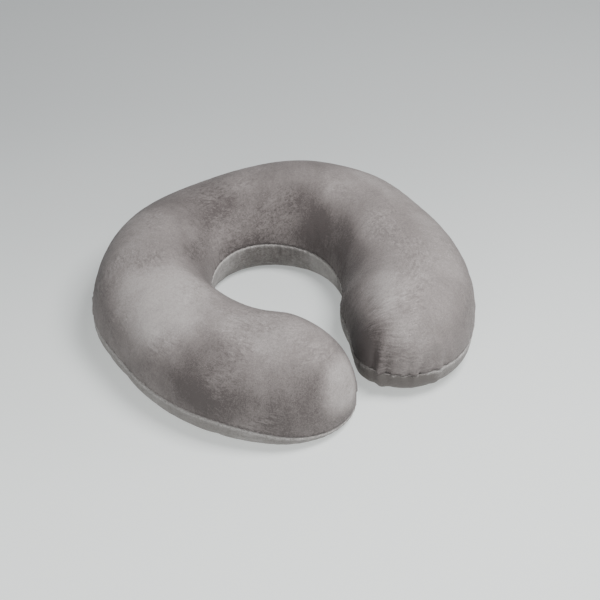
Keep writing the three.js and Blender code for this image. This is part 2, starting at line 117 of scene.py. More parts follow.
@dataclass
class PillowForm:
    """The outer face of the pillow, in millimetres about the centre of its ring.

    Angles run from 0 at the back to the tips; a point of a section is a half and a share of
    that half's outline, from 0 at the outer seam to 1 at the inner seam. The cover has slipped
    at the left tip, so the seam runs under the arm there.
    """

    centre: Vector
    tip_angle: float = 177.4
    cap_angle: float = 34.0
    cap_power: float = 1.9
    cap_lean: float = -0.37
    cap_droop: float = 1.12
    outer: SizeCurve = SizeCurve(
        ((0, 148), (30, 148), (62, 148), (90, 140), (135, 142.5), (177.4, 145)))
    inner: SizeCurve = SizeCurve(((0, 68), (45, 60), (90, 46.5), (135, 40.5), (177.4, 60)))
    crown: SizeCurve = SizeCurve(((0, 64), (45, 75), (90, 74.5), (135, 75), (177.4, 88)))
    outer_seam: SizeCurve = SizeCurve(((0, 25), (30, 25), (62, 25), (110, 23.5), (177.4, 24)))
    inner_seam: SizeCurve = SizeCurve(((0, 29), (90, 24), (177.4, 23)))
    skew: SizeCurve = SizeCurve(((0, 0), (90, -0.18), (177.4, 0.1)))
    slips: tuple[float, float] = (122.0, 172.0)
    outer_slip: float = 17.0
    inner_slip: float = 10.0
    tuck: float = 4.0
    outer_crown_power: float = 2.15
    inner_crown_power: float = 1.75
    outer_undercut: float = 24.0
    inner_undercut: float = 14.5
    undercut_power: float = 2.45
    corner_share: float = 0.4
    corner_limit: float = 0.95
    base_lift_power: float = 0.4
    fineness: int = 160
    slope_angle: float = 0.15
    slope_share: float = 0.004
    cloth_radius: float = 105.0

    def _section(self, angle: np.ndarray) -> dict[str, np.ndarray]:
        """Works out the sizes of the sections.

        Args:
            angle: the stations, in degrees.

        Returns:
            Each size by its name, as a column with a row for each station.
        """
        turn = np.minimum(np.abs(angle), self.tip_angle)
        along = np.clip((turn - self.tip_angle + self.cap_angle) / self.cap_angle, 0, 1)
        close = np.maximum(1 - along ** self.cap_power, 1e-6) ** (1 / self.cap_power)
        slip = eased((-angle - self.slips[0]) / (self.slips[1] - self.slips[0]))
        half = (self.outer.at(turn) - self.tuck * slip - self.inner.at(turn)) / 2
        outer_seam = self.outer_seam.at(turn) - self.outer_slip * slip
        inner_seam = self.inner_seam.at(turn) - self.inner_slip * slip
        seams = (outer_seam + inner_seam) / 2
        sizes = {
            "close": close,
            "half": half * close,
            "middle": self.inner.at(turn) + half + self.cap_lean * half * (1 - close),
            "outer_seam": seams + (outer_seam - seams) * close,
            "inner_seam": seams + (inner_seam - seams) * close,
            "rise": (self.crown.at(turn) - seams) * close ** self.cap_droop,
            "skew": self.skew.at(turn),
        }
        return {name: value[:, None] for name, value in sizes.items()}

    def _top(self, s: dict[str, np.ndarray], t: np.ndarray) -> tuple[np.ndarray, np.ndarray]:
        """Draws the upper outline from seam to seam.

        Args:
            s: the sections' sizes.
            t: places along the outline, from 0 at the outer seam to 1.

        Returns:
            The radius and the height at each place.
        """
        across = np.cos(np.pi * t)
        power = np.where(across >= 0, self.outer_crown_power, self.inner_crown_power)
        reach = np.abs(across) ** (2 / power)
        lift = np.maximum(np.sin(np.pi * t), 0) ** (2 / power)
        share = np.where(across >= 0, s["skew"] + (1 - s["skew"]) * reach,
                         s["skew"] - (1 + s["skew"]) * reach)
        base = s["inner_seam"] + (s["outer_seam"] - s["inner_seam"]) * (1 + share) / 2
        return s["middle"] + share * s["half"], base + s["rise"] * lift

    def _bottom(self, s: dict[str, np.ndarray], t: np.ndarray) -> tuple[np.ndarray, np.ndarray]:
        """Draws the lower outline from seam to seam, round the tucked corners and the flat base.

        Args:
            s: the sections' sizes.
            t: places along the outline, from 0 at the outer seam to 1.

        Returns:
            The radius and the height at each place.
        """
        corner = self.corner_share
        lift = s["close"] ** self.base_lift_power
        outer_inset = np.minimum(self.outer_undercut, s["half"] * self.corner_limit)
        inner_inset = np.minimum(self.inner_undercut, s["half"] * self.corner_limit)
        turn = np.minimum(1, np.minimum(t, 1 - t) / corner) * np.pi / 2
        power = 2 / self.undercut_power
        inward = 1 - np.maximum(np.cos(turn), 0) ** power
        drop = 1 - np.sin(turn) ** power * lift
        share = np.clip((t - corner) / (1 - 2 * corner), 0, 1)
        start = s["middle"] + s["half"] - outer_inset
        end = s["middle"] - s["half"] + inner_inset
        radius = start + (end - start) * share
        level = (s["outer_seam"] + (s["inner_seam"] - s["outer_seam"]) * share) * (1 - lift)
        radius = np.where(t < corner, s["middle"] + s["half"] - outer_inset * inward, radius)
        radius = np.where(t > 1 - corner, s["middle"] - s["half"] + inner_inset * inward, radius)
        level = np.where(t < corner, s["outer_seam"] * drop, level)
        level = np.where(t > 1 - corner, s["inner_seam"] * drop, level)
        return radius, level

    def _measured(self, half: Half, angle: np.ndarray) -> tuple[np.ndarray, ...]:
        """Measures a finely drawn outline.

        Args:
            half: over the crown, or under the base.
            angle: the stations, in degrees.

        Returns:
            The radius, the height and the running length, with a row for each station.
        """
        t = (1 - np.cos(np.linspace(0, np.pi, self.fineness + 1)))[None, :] / 2
        outline = self._top if half is Half.TOP else self._bottom
        radius, z = outline(self._section(angle), t)
        steps = np.hypot(np.diff(radius, axis=1), np.diff(z, axis=1))
        return radius, z, np.concatenate([np.zeros((len(angle), 1)), steps.cumsum(1)], axis=1)

    def lengths(self, half: Half, angle: np.ndarray) -> np.ndarray:
        """Returns how long each section's half outline is, in millimetres."""
        return self._measured(half, angle)[2][:, -1]

    def _face(self, half: Half, angle: np.ndarray, share: np.ndarray) -> np.ndarray:
        """Finds points of the outer face.

        Args:
            half: over the crown, or under the base.
            angle: the stations, in degrees.
            share: for each station, the places along the outline.

        Returns:
            The points, in millimetres about the ring's centre.
        """
        radius, z, run = self._measured(half, angle)
        r = np.empty(share.shape)
        h = np.empty(share.shape)
        for i in range(len(angle)):
            want = np.clip(share[i], 0, 1) * run[i, -1]
            r[i] = np.interp(want, run[i], radius[i])
            h[i] = np.interp(want, run[i], z[i])
        turn = np.radians(angle)[:, None]
        return np.stack([r * np.sin(turn), r * np.cos(turn), h], axis=-1)

    def surface(self, half: Half, angle: np.ndarray,
                share: np.ndarray) -> tuple[np.ndarray, np.ndarray]:
        """Measures the outer face.

        Args:
            half: over the crown, or under the base.
            angle: the stations, in degrees.
            share: for each station, the places along the outline.

        Returns:
            The points and the inward unit normals, in millimetres about the ring's centre.
        """
        limit = self.tip_angle
        low = np.clip(angle - self.slope_angle, -limit, limit)
        high = np.clip(angle + self.slope_angle, -limit, limit)
        along = self._face(half, high, share) - self._face(half, low, share)
        across = (self._face(half, angle, share + self.slope_share)
                  - self._face(half, angle, share - self.slope_share))
        normal = np.cross(along, across) * half.value
        normal /= np.maximum(np.linalg.norm(normal, axis=-1, keepdims=True), 1e-9)
        points = self._face(half, angle, share)
        if half is Half.BOTTOM:
            normal[points[..., 2] < 1e-6] = (0, 0, 1)
        return points, normal

    def beside(self, zone: Zone, angle: np.ndarray,
               rise: float) -> tuple[np.ndarray, np.ndarray]:
        """Measures a run beside a seam.

        Args:
            zone: which seam.
            angle: the stations, in degrees.
            rise: the distance above the seam along the outer face, or below it if negative.

        Returns:
            The points and the inward unit normals.
        """
        half = Half.TOP if rise >= 0 else Half.BOTTOM
        share = np.minimum(abs(rise) / self.lengths(half, angle), 0.5)[:, None]
        if zone is Zone.INNER:
            share = 1 - share
        points, normal = self.surface(half, angle, share)
        return points[:, 0], normal[:, 0]

    def seam_run(self, zone: Zone, angle: np.ndarray) -> np.ndarray:
        """Measures along a seam.

        Args:
            zone: which seam.
            angle: the stations, in degrees.

        Returns:
            How far each station is from the back, in millimetres, negative on the left.
        """
        fine = self.tip_angle * np.sin(np.linspace(0, np.pi / 2, 900))
        path = self.beside(zone, fine, 0.0)[0]
        run = np.concatenate([[0], np.linalg.norm(np.diff(path, axis=0), axis=1).cumsum()])
        return np.sign(angle) * np.interp(np.abs(angle), fine, run)

    def tip(self, side: int, rise: float, depth: float) -> np.ndarray:
        """Finds the point where the seams meet at a tip.

        Args:
            side: 1 for the right arm, -1 for the left.
            rise: how far to move it up.
            depth: how far to move it into the arm.

        Returns:
            The point, in millimetres.
        """
        s = self._section(np.array([side * self.tip_angle]))
        turn = math.radians(side * self.tip_angle)
        middle = float(s["middle"][0, 0])
        point = np.array([middle * math.sin(turn), middle * math.cos(turn),
                          float(s["outer_seam"][0, 0]) + rise])
        return point + depth * np.array([-math.cos(turn) * side, math.sin(turn) * side, 0])

    def stations(self, step: float, cap_steps: int) -> np.ndarray:
        """Spaces stations from tip to tip, closer together over the rounded ends.

        Args:
            step: the spacing along the arms, in degrees.
            cap_steps: how many steps each rounded end gets.

        Returns:
            The angles, in degrees.
        """
        start = self.tip_angle - self.cap_angle
        arm = np.linspace(0, start, max(2, round(start / step)) + 1)
        cap = start + self.cap_angle * np.sin(np.linspace(0, np.pi / 2, cap_steps + 1)[1:-1])
        half = np.concatenate([arm, cap])
        return np.concatenate([-half[:0:-1], half])

    def cloth(self, angle: np.ndarray, distance: np.ndarray) -> np.ndarray:
        """Lays out a panel flat.

        Args:
            angle: the stations, in degrees.
            distance: for each station, the distances across the panel in millimetres.

        Returns:
            Cloth coordinates in metres, for the outer and then the inner face.
        """
        run = np.radians(angle)[:, None] * self.cloth_radius + 0 * distance
        flat = np.stack([run, distance], axis=-1) * MM
        return np.concatenate([flat, flat[:, ::-1]], axis=1)

    def place(self, points: np.ndarray) -> np.ndarray:
        """Returns points in metres in the shared frame."""
        centre = np.array([self.centre.x, self.centre.y, 0.0])
        return points * MM + centre


# ---------------------------------------------------------------- meshes


def make_object(name: str, points: np.ndarray, faces: Sequence[Sequence[int]],
                uv: Optional[np.ndarray] = None, smooth: bool = True) -> bpy.types.Object:
    """Makes a mesh object in the scene.

    Args:
        name: the piece's name.
        points: vertices in metres.
        faces: vertex numbers of each face.
        uv: a cloth coordinate in metres for each vertex, if the finish needs one.
        smooth: whether the faces are shaded smooth.

    Returns:
        The new object, with its faces turned outward.
    """
    mesh = bpy.data.meshes.new(name)
    mesh.from_pydata([tuple(p) for p in points], [], [tuple(f) for f in faces])
    if uv is not None:
        layer = mesh.uv_layers.new(name="cloth")
        corner = np.empty(len(mesh.loops), dtype=np.int32)
        mesh.loops.foreach_get("vertex_index", corner)
        layer.data.foreach_set("uv", uv[corner].astype(np.float32).ravel())
    mesh.validate()
    work = bmesh.new()
    work.from_mesh(mesh)
    bmesh.ops.recalc_face_normals(work, faces=work.faces)
    work.to_mesh(mesh)
    work.free()
    mesh.polygons.foreach_set("use_smooth", [smooth] * len(mesh.polygons))
    obj = bpy.data.objects.new(name, mesh)
    bpy.context.scene.collection.objects.link(obj)
    return obj


def grid_faces(rows: int, columns: int, offset: int = 0, wrap: bool = False) -> list[list[int]]:
    """Joins a grid of vertices.

    Args:
        rows: how many rows there are.
        columns: how many vertices a row has.
        offset: the number of the first vertex.
        wrap: whether the last column joins the first.

    Returns:
        The quads' vertex numbers, row by row.
    """
    last = columns if wrap else columns - 1
    faces = []
    for i in range(rows - 1):
        here, there = offset + i * columns, offset + (i + 1) * columns
        for j in range(last):
            k = (j + 1) % columns
            faces.append([here + j, here + k, there + k, there + j])
    return faces


def swept(name: str, outlines: np.ndarray, tips: Optional[Sequence[np.ndarray]] = None,
          uv: Optional[np.ndarray] = None) -> bpy.types.Object:
    """Sweeps a closed outline along a run of stations.

    Args:
        name: the piece's name.
        outlines: stations x points x 3, in metres.
        tips: the points that close the two ends; without them the ends are capped flat.
        uv: stations x points x 2 cloth coordinates.

    Returns:
        The closed piece.
    """
    stations, size = outlines.shape[:2]
    points = outlines.reshape(-1, 3)
    coordinates = None if uv is None else uv.reshape(-1, 2)
    faces = grid_faces(stations, size, wrap=True)
    if tips is None:
        faces += [list(range(size)), list(range(len(points) - 1, len(points) - size - 1, -1))]
    else:
        first = len(points)
        points = np.concatenate([points, np.stack(list(tips))])
        if coordinates is not None:
            coordinates = np.concatenate([coordinates, coordinates[[0, -1]]])
        last = (stations - 1) * size
        for j in range(size):
            k = (j + 1) % size
            faces += [[first, j, k], [first + 1, last + k, last + j]]
    return make_object(name, points, faces, coordinates)


def tube_rings(path: np.ndarray, radius: np.ndarray, sides: int) -> np.ndarray:
    """Puts rings of points round a path.

    Args:
        path: the middle of the tube.
        radius: the radius at each point of the path.
        sides: how many points a ring has.

    Returns:
        The points, stations x sides x 3.
    """
    tangent = np.gradient(path, axis=0)
    tangent /= np.linalg.norm(tangent, axis=1, keepdims=True)
    up = np.array([0.0, 0.0, 1.0])
    side = np.cross(tangent, up)
    weak = np.linalg.norm(side, axis=1) < 0.2
    side[weak] = np.cross(tangent[weak], np.array([1.0, 0.0, 0.0]))
    side /= np.linalg.norm(side, axis=1, keepdims=True)
    other = np.cross(side, tangent)
    turn = np.linspace(0, 2 * np.pi, sides, endpoint=False)
    ring = (side[:, None] * np.cos(turn)[None, :, None]
            + other[:, None] * np.sin(turn)[None, :, None])
    return path[:, None] + ring * radius[:, None, None]


def many_stitches(name: str, centres: np.ndarray, along: np.ndarray, out: np.ndarray,
                  length: float, radius: float, bow: float) -> bpy.types.Object:
    """Makes a row of separate thread stitches, each bowed up between its two needle holes.

    Args:
        name: the piece's name.
        centres: where each stitch is, in metres.
        along: each stitch's unit direction.
        out: each stitch's unit direction away from the cloth.
        length: of one stitch, in metres.
        radius: of the thread, in metres.
        bow: how far a stitch's middle stands above its ends, in metres.

    Returns:
        One object that holds every stitch.
    """
    steps, sides = 6, 6
    points, faces = [], []
    share = np.linspace(-0.5, 0.5, steps)
    for centre, forward, away in zip(centres, along, out):
        path = (centre + forward[None] * (share * length)[:, None]
                + away[None] * (bow * (1 - (2 * share) ** 2) - bow / 2)[:, None])
        cross = np.cross(forward, away)
        turn = np.linspace(0, 2 * np.pi, sides, endpoint=False)
        thick = radius * np.sqrt(np.maximum(1 - (2 * share * 0.93) ** 4, 0.1))
        ring = (away[None, None] * np.cos(turn)[None, :, None]
                + cross[None, None] * np.sin(turn)[None, :, None]) * thick[:, None, None]
        start = len(points) * steps * sides
        points.append((path[:, None] + ring).reshape(-1, 3))
        faces += grid_faces(steps, sides, start, wrap=True)
        faces += [list(range(start, start + sides)),
                  list(range(start + steps * sides - 1, start + (steps - 1) * sides - 1, -1))]
    return make_object(name, np.concatenate(points), faces)


# ---------------------------------------------------------------- shader maths


class Value:
    """A shader socket that takes part in Python expressions on numbers."""

    def __init__(self, shader: "Shader", socket: bpy.types.NodeSocket) -> None:
        """Wraps a socket of the given shader."""
        self.shader = shader
        self.socket = socket

    def _maths(self, operation: str, a: "Operand", b: "Operand" = 0.0) -> "Value":
        """Returns a Math node's result."""
        return self.shader.node("ShaderNodeMath", {"operation": operation}, {0: a, 1: b})

    def __add__(self, other: "Operand") -> "Value":
        """Returns self + other."""
        return self._maths("ADD", self, other)

    def __radd__(self, other: "Operand") -> "Value":
        """Returns other + self."""
        return self._maths("ADD", other, self)

    def __sub__(self, other: "Operand") -> "Value":
        """Returns self - other."""
        return self._maths("SUBTRACT", self, other)

    def __rsub__(self, other: "Operand") -> "Value":
        """Returns other - self."""
        return self._maths("SUBTRACT", other, self)

    def __mul__(self, other: "Operand") -> "Value":
        """Returns self * other."""
        return self._maths("MULTIPLY", self, other)

    def __rmul__(self, other: "Operand") -> "Value":
        """Returns other * self."""
        return self._maths("MULTIPLY", other, self)

    def clamped(self) -> "Value":
        """Returns the value held between 0 and 1."""
        return self.shader.node("ShaderNodeClamp", {}, {"Value": self})


Operand = Union[Value, float]


class Shader:
    """Builds one material's node tree."""

    def __init__(self, name: str) -> None:
        """Starts an empty material.

        Args:
            name: the material's name.
        """
        self.material = bpy.data.materials.new(name)
        self.material.use_nodes = True
        self.tree = self.material.node_tree
        self.tree.nodes.clear()

    def node(self, kind: str, settings: dict[str, object],
             inputs: dict[Union[int, str], object], output: Union[int, str] = 0) -> Value:
        """Adds a node.

        Args:
            kind: the node's type.
            settings: its properties; "stops" sets a colour ramp's (place, colour) pairs.
            inputs: a number, colour or Value for each socket, by name or number.
            output: the socket to return.

        Returns:
            The chosen output.
        """
        node = self.tree.nodes.new(kind)
        for name, setting in settings.items():
            if name == "stops":
                ramp = node.color_ramp
                while len(ramp.elements) < len(setting):
                    ramp.elements.new(0.5)
                for element, (place, colour) in zip(ramp.elements, setting):
                    element.position = place
                    element.color = (*colour, 1)
            else:
                setattr(node, name, setting)
        for name, given in inputs.items():
            if isinstance(given, Value):
                self.tree.links.new(given.socket, node.inputs[name])
            else:
                node.inputs[name].default_value = given
        return Value(self, node.outputs[output])

    def noise(self, coordinates: Value, scale: float, detail: float = 2.0,
              roughness: float = 0.5, distortion: float = 0.0) -> Value:
        """Adds a noise texture.

        Args:
            coordinates: where it is read.
            scale: how fine it is.
            detail: how many finer layers it has.
            roughness: how strong those are.
            distortion: how much it is stirred.

        Returns:
            Its value, from 0 to 1.
        """
        return self.node("ShaderNodeTexNoise", {}, {
            "Vector": coordinates, "Scale": scale, "Detail": detail,
            "Roughness": roughness, "Distortion": distortion})

    def ramp(self, factor: Value, stops: Sequence[tuple[float, Colour]]) -> Value:
        """Returns a colour ramp's colour."""
        return self.node("ShaderNodeValToRGB", {"stops": stops}, {"Fac": factor})

    def between(self, factor: Operand, low: float, high: float) -> Value:
        """Returns the factor moved from 0..1 to low..high."""
        return self.node("ShaderNodeMapRange", {}, {
            "Value": factor, "To Min": low, "To Max": high})

    def within(self, factor: Value, low: float, high: float) -> Value:
        """Returns 0 below low and 1 above high, smoothly."""
        return self.node("ShaderNodeMapRange", {"interpolation_type": "SMOOTHSTEP"}, {
            "Value": factor, "From Min": low, "From Max": high})

    def mix(self, factor: Operand, low: Colour, high: Colour) -> Value:
        """Returns a mix of two colours."""
        return self.node("ShaderNodeMix", {"data_type": "RGBA"},
                         {0: factor, 6: (*low, 1), 7: (*high, 1)}, 2)

    def place(self, coordinates: Value, scale: Sequence[float]) -> Value:
        """Returns coordinates stretched by a scale on each axis."""
        return self.node("ShaderNodeMapping", {}, {
            "Vector": coordinates, "Scale": tuple(scale)})

    def object_space(self) -> Value:
        """Returns the piece's own coordinates."""
        return self.node("ShaderNodeTexCoord", {}, {}, "Object")

    def cloth_space(self) -> Value:
        """Returns the coordinate along and across the cloth, in metres."""
        return self.node("ShaderNodeUVMap", {"uv_map": "cloth"}, {})

    def bump(self, height: Value, distance: float, strength: float = 1.0,
             under: Optional[Value] = None) -> Value:
        """Bumps the normal.

        Args:
            height: the relief, from 0 to 1.
            distance: how high 1 stands, in metres.
            strength: how much of it shows.
            under: another bump that this one lies on.

        Returns:
            The bumped normal.
        """
        inputs = {"Height": height, "Distance": distance, "Strength": strength}
        if under is not None:
            inputs["Normal"] = under
        return self.node("ShaderNodeBump", {}, inputs)

    def finish(self, inputs: dict[str, object]) -> bpy.types.Material:
        """Closes the material with a principled surface.

        Args:
            inputs: a number, colour or Value for each of its sockets.

        Returns:
            The material.
        """
        surface = self.node("ShaderNodeBsdfPrincipled", {}, inputs)
        output = self.tree.nodes.new("ShaderNodeOutputMaterial")
        self.tree.links.new(surface.socket, output.inputs["Surface"])
        return self.material


# ---------------------------------------------------------------- finishes


@dataclass(frozen=True)
class NapAndLightPatch:
    """A patch painted lighter or darker: painted light and shade, partly nap brushed the other
    way.

    Args:
        angle: its station, in degrees.
        share: its place over the crown, from 0 at the outer seam to 1 at the inner seam.
        radius: how far it reaches, in millimetres.
        tone: how much lighter it is, or darker if negative.
    """

    angle: float
    share: float
    radius: float
    tone: float


# Painted light and shade, partly nap tone: each patch lightens a lit place or darkens a shaded
# one, such as the far tip's base in the near tip's shade.
PAINTED_LIGHT_AND_NAP = {
    Half.TOP: (
        NapAndLightPatch(42, 0.80, 26, -0.16), NapAndLightPatch(64, 0.82, 26, -0.10), NapAndLightPatch(100, 0.84, 24, -0.12),
        NapAndLightPatch(34, 0.56, 38, -0.13), NapAndLightPatch(160, 0.63, 28, 0.16), NapAndLightPatch(62, 0.52, 26, 0.08),
        NapAndLightPatch(177, 0.80, 24, -0.24), NapAndLightPatch(175, 0.62, 34, -0.16), NapAndLightPatch(168, 0.22, 24, 0.10),
        NapAndLightPatch(-148, 0.18, 40, -0.09), NapAndLightPatch(-124, 0.21, 36, -0.27), NapAndLightPatch(-166, 0.24, 25, 0.42),
        NapAndLightPatch(-88, 0.38, 46, 0.24), NapAndLightPatch(-134, 0.46, 36, 0.06), NapAndLightPatch(-11, 0.46, 48, -0.22),
        NapAndLightPatch(12, 0.50, 46, -0.07), NapAndLightPatch(4, 0.84, 36, -0.20), NapAndLightPatch(-38, 0.70, 30, -0.08),
    ),
    Half.BOTTOM: (
        NapAndLightPatch(18, 0.95, 26, -0.16), NapAndLightPatch(67, 0.95, 24, 0.32), NapAndLightPatch(-20, 0.95, 22, 0.20),
        NapAndLightPatch(171, 0.05, 32, -0.50),
    ),
}


@dataclass(frozen=True)
class Velour:
    """Short-pile velour. The crest is painted paler where it faces up towards the key light,
    a painted highlight, and the walls are left darker.

    Beside a seam the pile is crushed and its tone uneven; there the top panel gets painted
    shade and the lower panel painted bounce light.
    """

    name: str = "velour"
    deep: Colour = (0.086, 0.074, 0.072)
    body: Colour = (0.222, 0.198, 0.191)
    bright: Colour = (0.45, 0.418, 0.405)
    sheen: float = 0.12
    sheen_tint: Colour = (1.0, 0.97, 0.96)
    # painted highlight: surfaces facing this way, up towards the key light, are painted paler
    painted_crest_light_towards: Colour = (-0.05, -0.25, 0.96)
    half: Half = Half.TOP
    # painted seam tone: painted shade beside the top panel's seams, painted bounce light beside
    # the lower panel's
    painted_seam_tone: float = -0.12

    def _painted_light_and_nap(self, s: Shader, form: PillowForm, here: Value, drift: Value) -> Value:
        """Paints the listed patches lighter or darker, with uneven borders: painted light and
        shade, partly nap tone.

        Args:
            s: the shader to add to.
            form: the pillow that the cover is on.
            here: the coordinates on the piece.
            drift: a broad noise that moves the borders.

        Returns:
            How much lighter each place is.
        """
        total = drift * 0.0
        # each patch is painted light or painted shade, partly nap tone
        for light_patch in PAINTED_LIGHT_AND_NAP[self.half]:
            points, _ = form.surface(self.half, np.array([light_patch.angle]),
                                     np.array([[light_patch.share]]))
            middle = tuple(form.place(points[0, 0]))
            away = s.node("ShaderNodeVectorMath", {"operation": "DISTANCE"},
                          {0: here, 1: middle}, "Value")
            uneven = away * (1 / (light_patch.radius * MM)) + (drift - 0.5) * 0.6
            total = total + (1.0 - s.within(uneven, 0.45, 1.12)) * light_patch.tone
        return total

    def build(self, form: PillowForm) -> bpy.types.Material:
        """Makes the material.

        Args:
            form: the pillow that the cover is on.

        Returns:
            The material.
        """
        s = Shader(self.name)
        here = s.object_space()
        cloth = s.cloth_space()
        patches = s.noise(here, 15.0, 3.0, 0.55, 0.5)
        drift = s.noise(here, 26.0, 3.0, 0.6)
        streaks = s.noise(s.place(cloth, (1.0, 0.28, 1.0)), 210.0, 3.0, 0.6)
        nap = s.noise(here, 620.0, 3.0, 0.65, 0.4)
        pile = s.noise(here, 1700.0, 2.0, 0.65)
        crush = s.noise(s.place(cloth, (1.0, 2.2, 1.0)), 170.0, 3.0, 0.6, 1.2)
        where = s.within(s.noise(here, 24.0, 2.0), 0.40, 0.62)
        ripple = (crush - 0.5) * where
        facing = s.node("ShaderNodeTexCoord", {}, {}, "Normal")
        # painted highlight: paler where the surface faces up towards the key light
        facing_painted_light = s.node("ShaderNodeVectorMath", {"operation": "DOT_PRODUCT"},
                      {0: facing, 1: self.painted_crest_light_towards}, "Value")
        painted_crest_light = s.within(facing_painted_light + (drift - 0.5) * 0.4, 0.45, 0.88)
        edge = s.node("ShaderNodeAttribute", {"attribute_name": "edge"}, {}, "Fac")
        rim = 1.0 - s.within(edge, 0.5, 3.6)
        fuzz = s.noise(here, 1000.0, 3.0, 0.7)
        # the fuzz is crushed pile; the seam tone added to it is painted shade on the top panel
        # and painted bounce light on the lower one
        seams = rim * ((fuzz - 0.5) * 1.5 + self.painted_seam_tone)
        tone = (0.36 + seams + (painted_crest_light - 0.4) * 0.20 + (patches - 0.5) * 0.50
                + (streaks - 0.5) * 0.16 + (nap - 0.5) * 0.34 + (pile - 0.5) * 0.38
                + ripple * 0.60 + self._painted_light_and_nap(s, form, here, drift))
        colour = s.ramp(tone, [(0.12, self.deep), (0.45, self.body), (0.85, self.bright)])
        low = s.bump(ripple + streaks * 0.08, 0.0009, 0.45)
        middle = s.bump(nap, 0.0006, 0.5, low)
        normal = s.bump(pile + fuzz * rim * 0.9, 0.0005, 0.6, middle)
        return s.finish({
            "Base Color": colour, "Roughness": 0.88, "Specular IOR Level": 0.2,
            "Sheen Weight": self.sheen, "Sheen Roughness": 0.45,
            "Sheen Tint": (*self.sheen_tint, 1), "Normal": normal})


@dataclass(frozen=True)
class Knit:
    """A fine jersey knit, for the liner."""

    name: str = "liner_knit"
    light: Colour = (0.70, 0.685, 0.655)
    dark: Colour = (0.47, 0.455, 0.43)

    def build(self) -> bpy.types.Material:
        """Makes the material.

        Returns:
            The material.
        """
        s = Shader(self.name)
        cloth = s.cloth_space()
        wale = s.node("ShaderNodeTexWave", {"bands_direction": "X"}, {
            "Vector": cloth, "Scale": 230.0, "Distortion": 0.6, "Detail": 1.0})
        course = s.node("ShaderNodeTexWave", {"bands_direction": "Y"}, {
            "Vector": cloth, "Scale": 300.0, "Distortion": 0.9, "Detail": 1.0})
        loops = wale * 0.6 + course * 0.4
        tone = loops * 0.7 + s.noise(s.object_space(), 30.0, 3.0) * 0.3
        colour = s.ramp(tone, [(0.15, self.dark), (0.7, self.light)])
        return s.finish({
            "Base Color": colour, "Roughness": 0.9, "Sheen Weight": 0.2,
            "Normal": s.bump(loops, 0.0002, 0.6)})


@dataclass(frozen=True)
class MemoryFoam:
    """Cream polyurethane foam with fine open pores and a moulded skin."""

    name: str = "memory_foam"
    light: Colour = (0.80, 0.74, 0.58)
    dark: Colour = (0.56, 0.49, 0.34)

    def build(self) -> bpy.types.Material:
        """Makes the material.

        Returns:
            The material.
        """
        s = Shader(self.name)
        here = s.object_space()
        pores = s.node("ShaderNodeTexVoronoi", {"feature": "F1"}, {
            "Vector": here, "Scale": 900.0}, "Distance")
        open_pores = s.within(pores, 0.15, 0.5)
        tone = open_pores * 0.6 + s.noise(here, 18.0, 3.0) * 0.4
        colour = s.ramp(tone, [(0.2, self.dark), (0.7, self.light)])
        return s.finish({
            "Base Color": colour, "Roughness": 0.85,
            "Normal": s.bump(open_pores, 0.0004, 0.5)})


@dataclass(frozen=True)
class Thread:
    """Twisted polyester sewing thread."""

    name: str = "sewing_thread"
    light: Colour = (0.34, 0.31, 0.30)
    dark: Colour = (0.14, 0.122, 0.117)

    def build(self) -> bpy.types.Material:
        """Makes the material.

        Returns:
            The material.
        """
        s = Shader(self.name)
        here = s.object_space()
        twist = s.node("ShaderNodeTexWave", {"bands_direction": "DIAGONAL"}, {
            "Vector": here, "Scale": 900.0, "Distortion": 1.5})
        tone = twist * 0.6 + s.noise(here, 240.0, 2.0) * 0.4
        return s.finish({
            "Base Color": s.ramp(tone, [(0.1, self.dark), (0.75, self.light)]),
            "Roughness": 0.62, "Sheen Weight": 0.15,
            "Normal": s.bump(twist, 0.0001, 0.6)})


@dataclass(frozen=True)
class WovenTape:
    """Plain woven polyester tape, ribbed along the zip."""

    name: str = "woven_tape"
    light: Colour = (0.27, 0.245, 0.236)
    dark: Colour = (0.125, 0.110, 0.105)

    def build(self) -> bpy.types.Material:
        """Makes the material.

        Returns:
            The material.
        """
        s = Shader(self.name)
        cloth = s.cloth_space()
        warp = s.node("ShaderNodeTexWave", {"bands_direction": "Y"}, {
            "Vector": cloth, "Scale": 420.0, "Distortion": 0.4})
        weft = s.node("ShaderNodeTexWave", {"bands_direction": "X"}, {
            "Vector": cloth, "Scale": 520.0, "Distortion": 0.4})
        weave = warp * weft
        tone = weave * 0.7 + s.noise(cloth, 300.0, 2.0) * 0.3
        return s.finish({
            "Base Color": s.ramp(tone, [(0.05, self.dark), (0.6, self.light)]),
            "Roughness": 0.8, "Sheen Weight": 0.2,
            "Normal": s.bump(weave, 0.00015, 0.7)})


@dataclass(frozen=True)
class Nylon:
    """Smooth moulded nylon, for the zip's coils."""

    name: str = "nylon"
    colour: Colour = (0.24, 0.215, 0.206)

    def build(self) -> bpy.types.Material:
        """Makes the material.

        Returns:
            The material.
        """
        s = Shader(self.name)
        uneven = s.noise(s.object_space(), 420.0, 2.0)
        darker = tuple(0.7 * c for c in self.colour)
        return s.finish({
            "Base Color": s.mix(uneven, darker, self.colour),
            "Roughness": s.between(uneven, 0.32, 0.5),
            "Normal": s.bump(uneven, 0.00005, 0.4)})


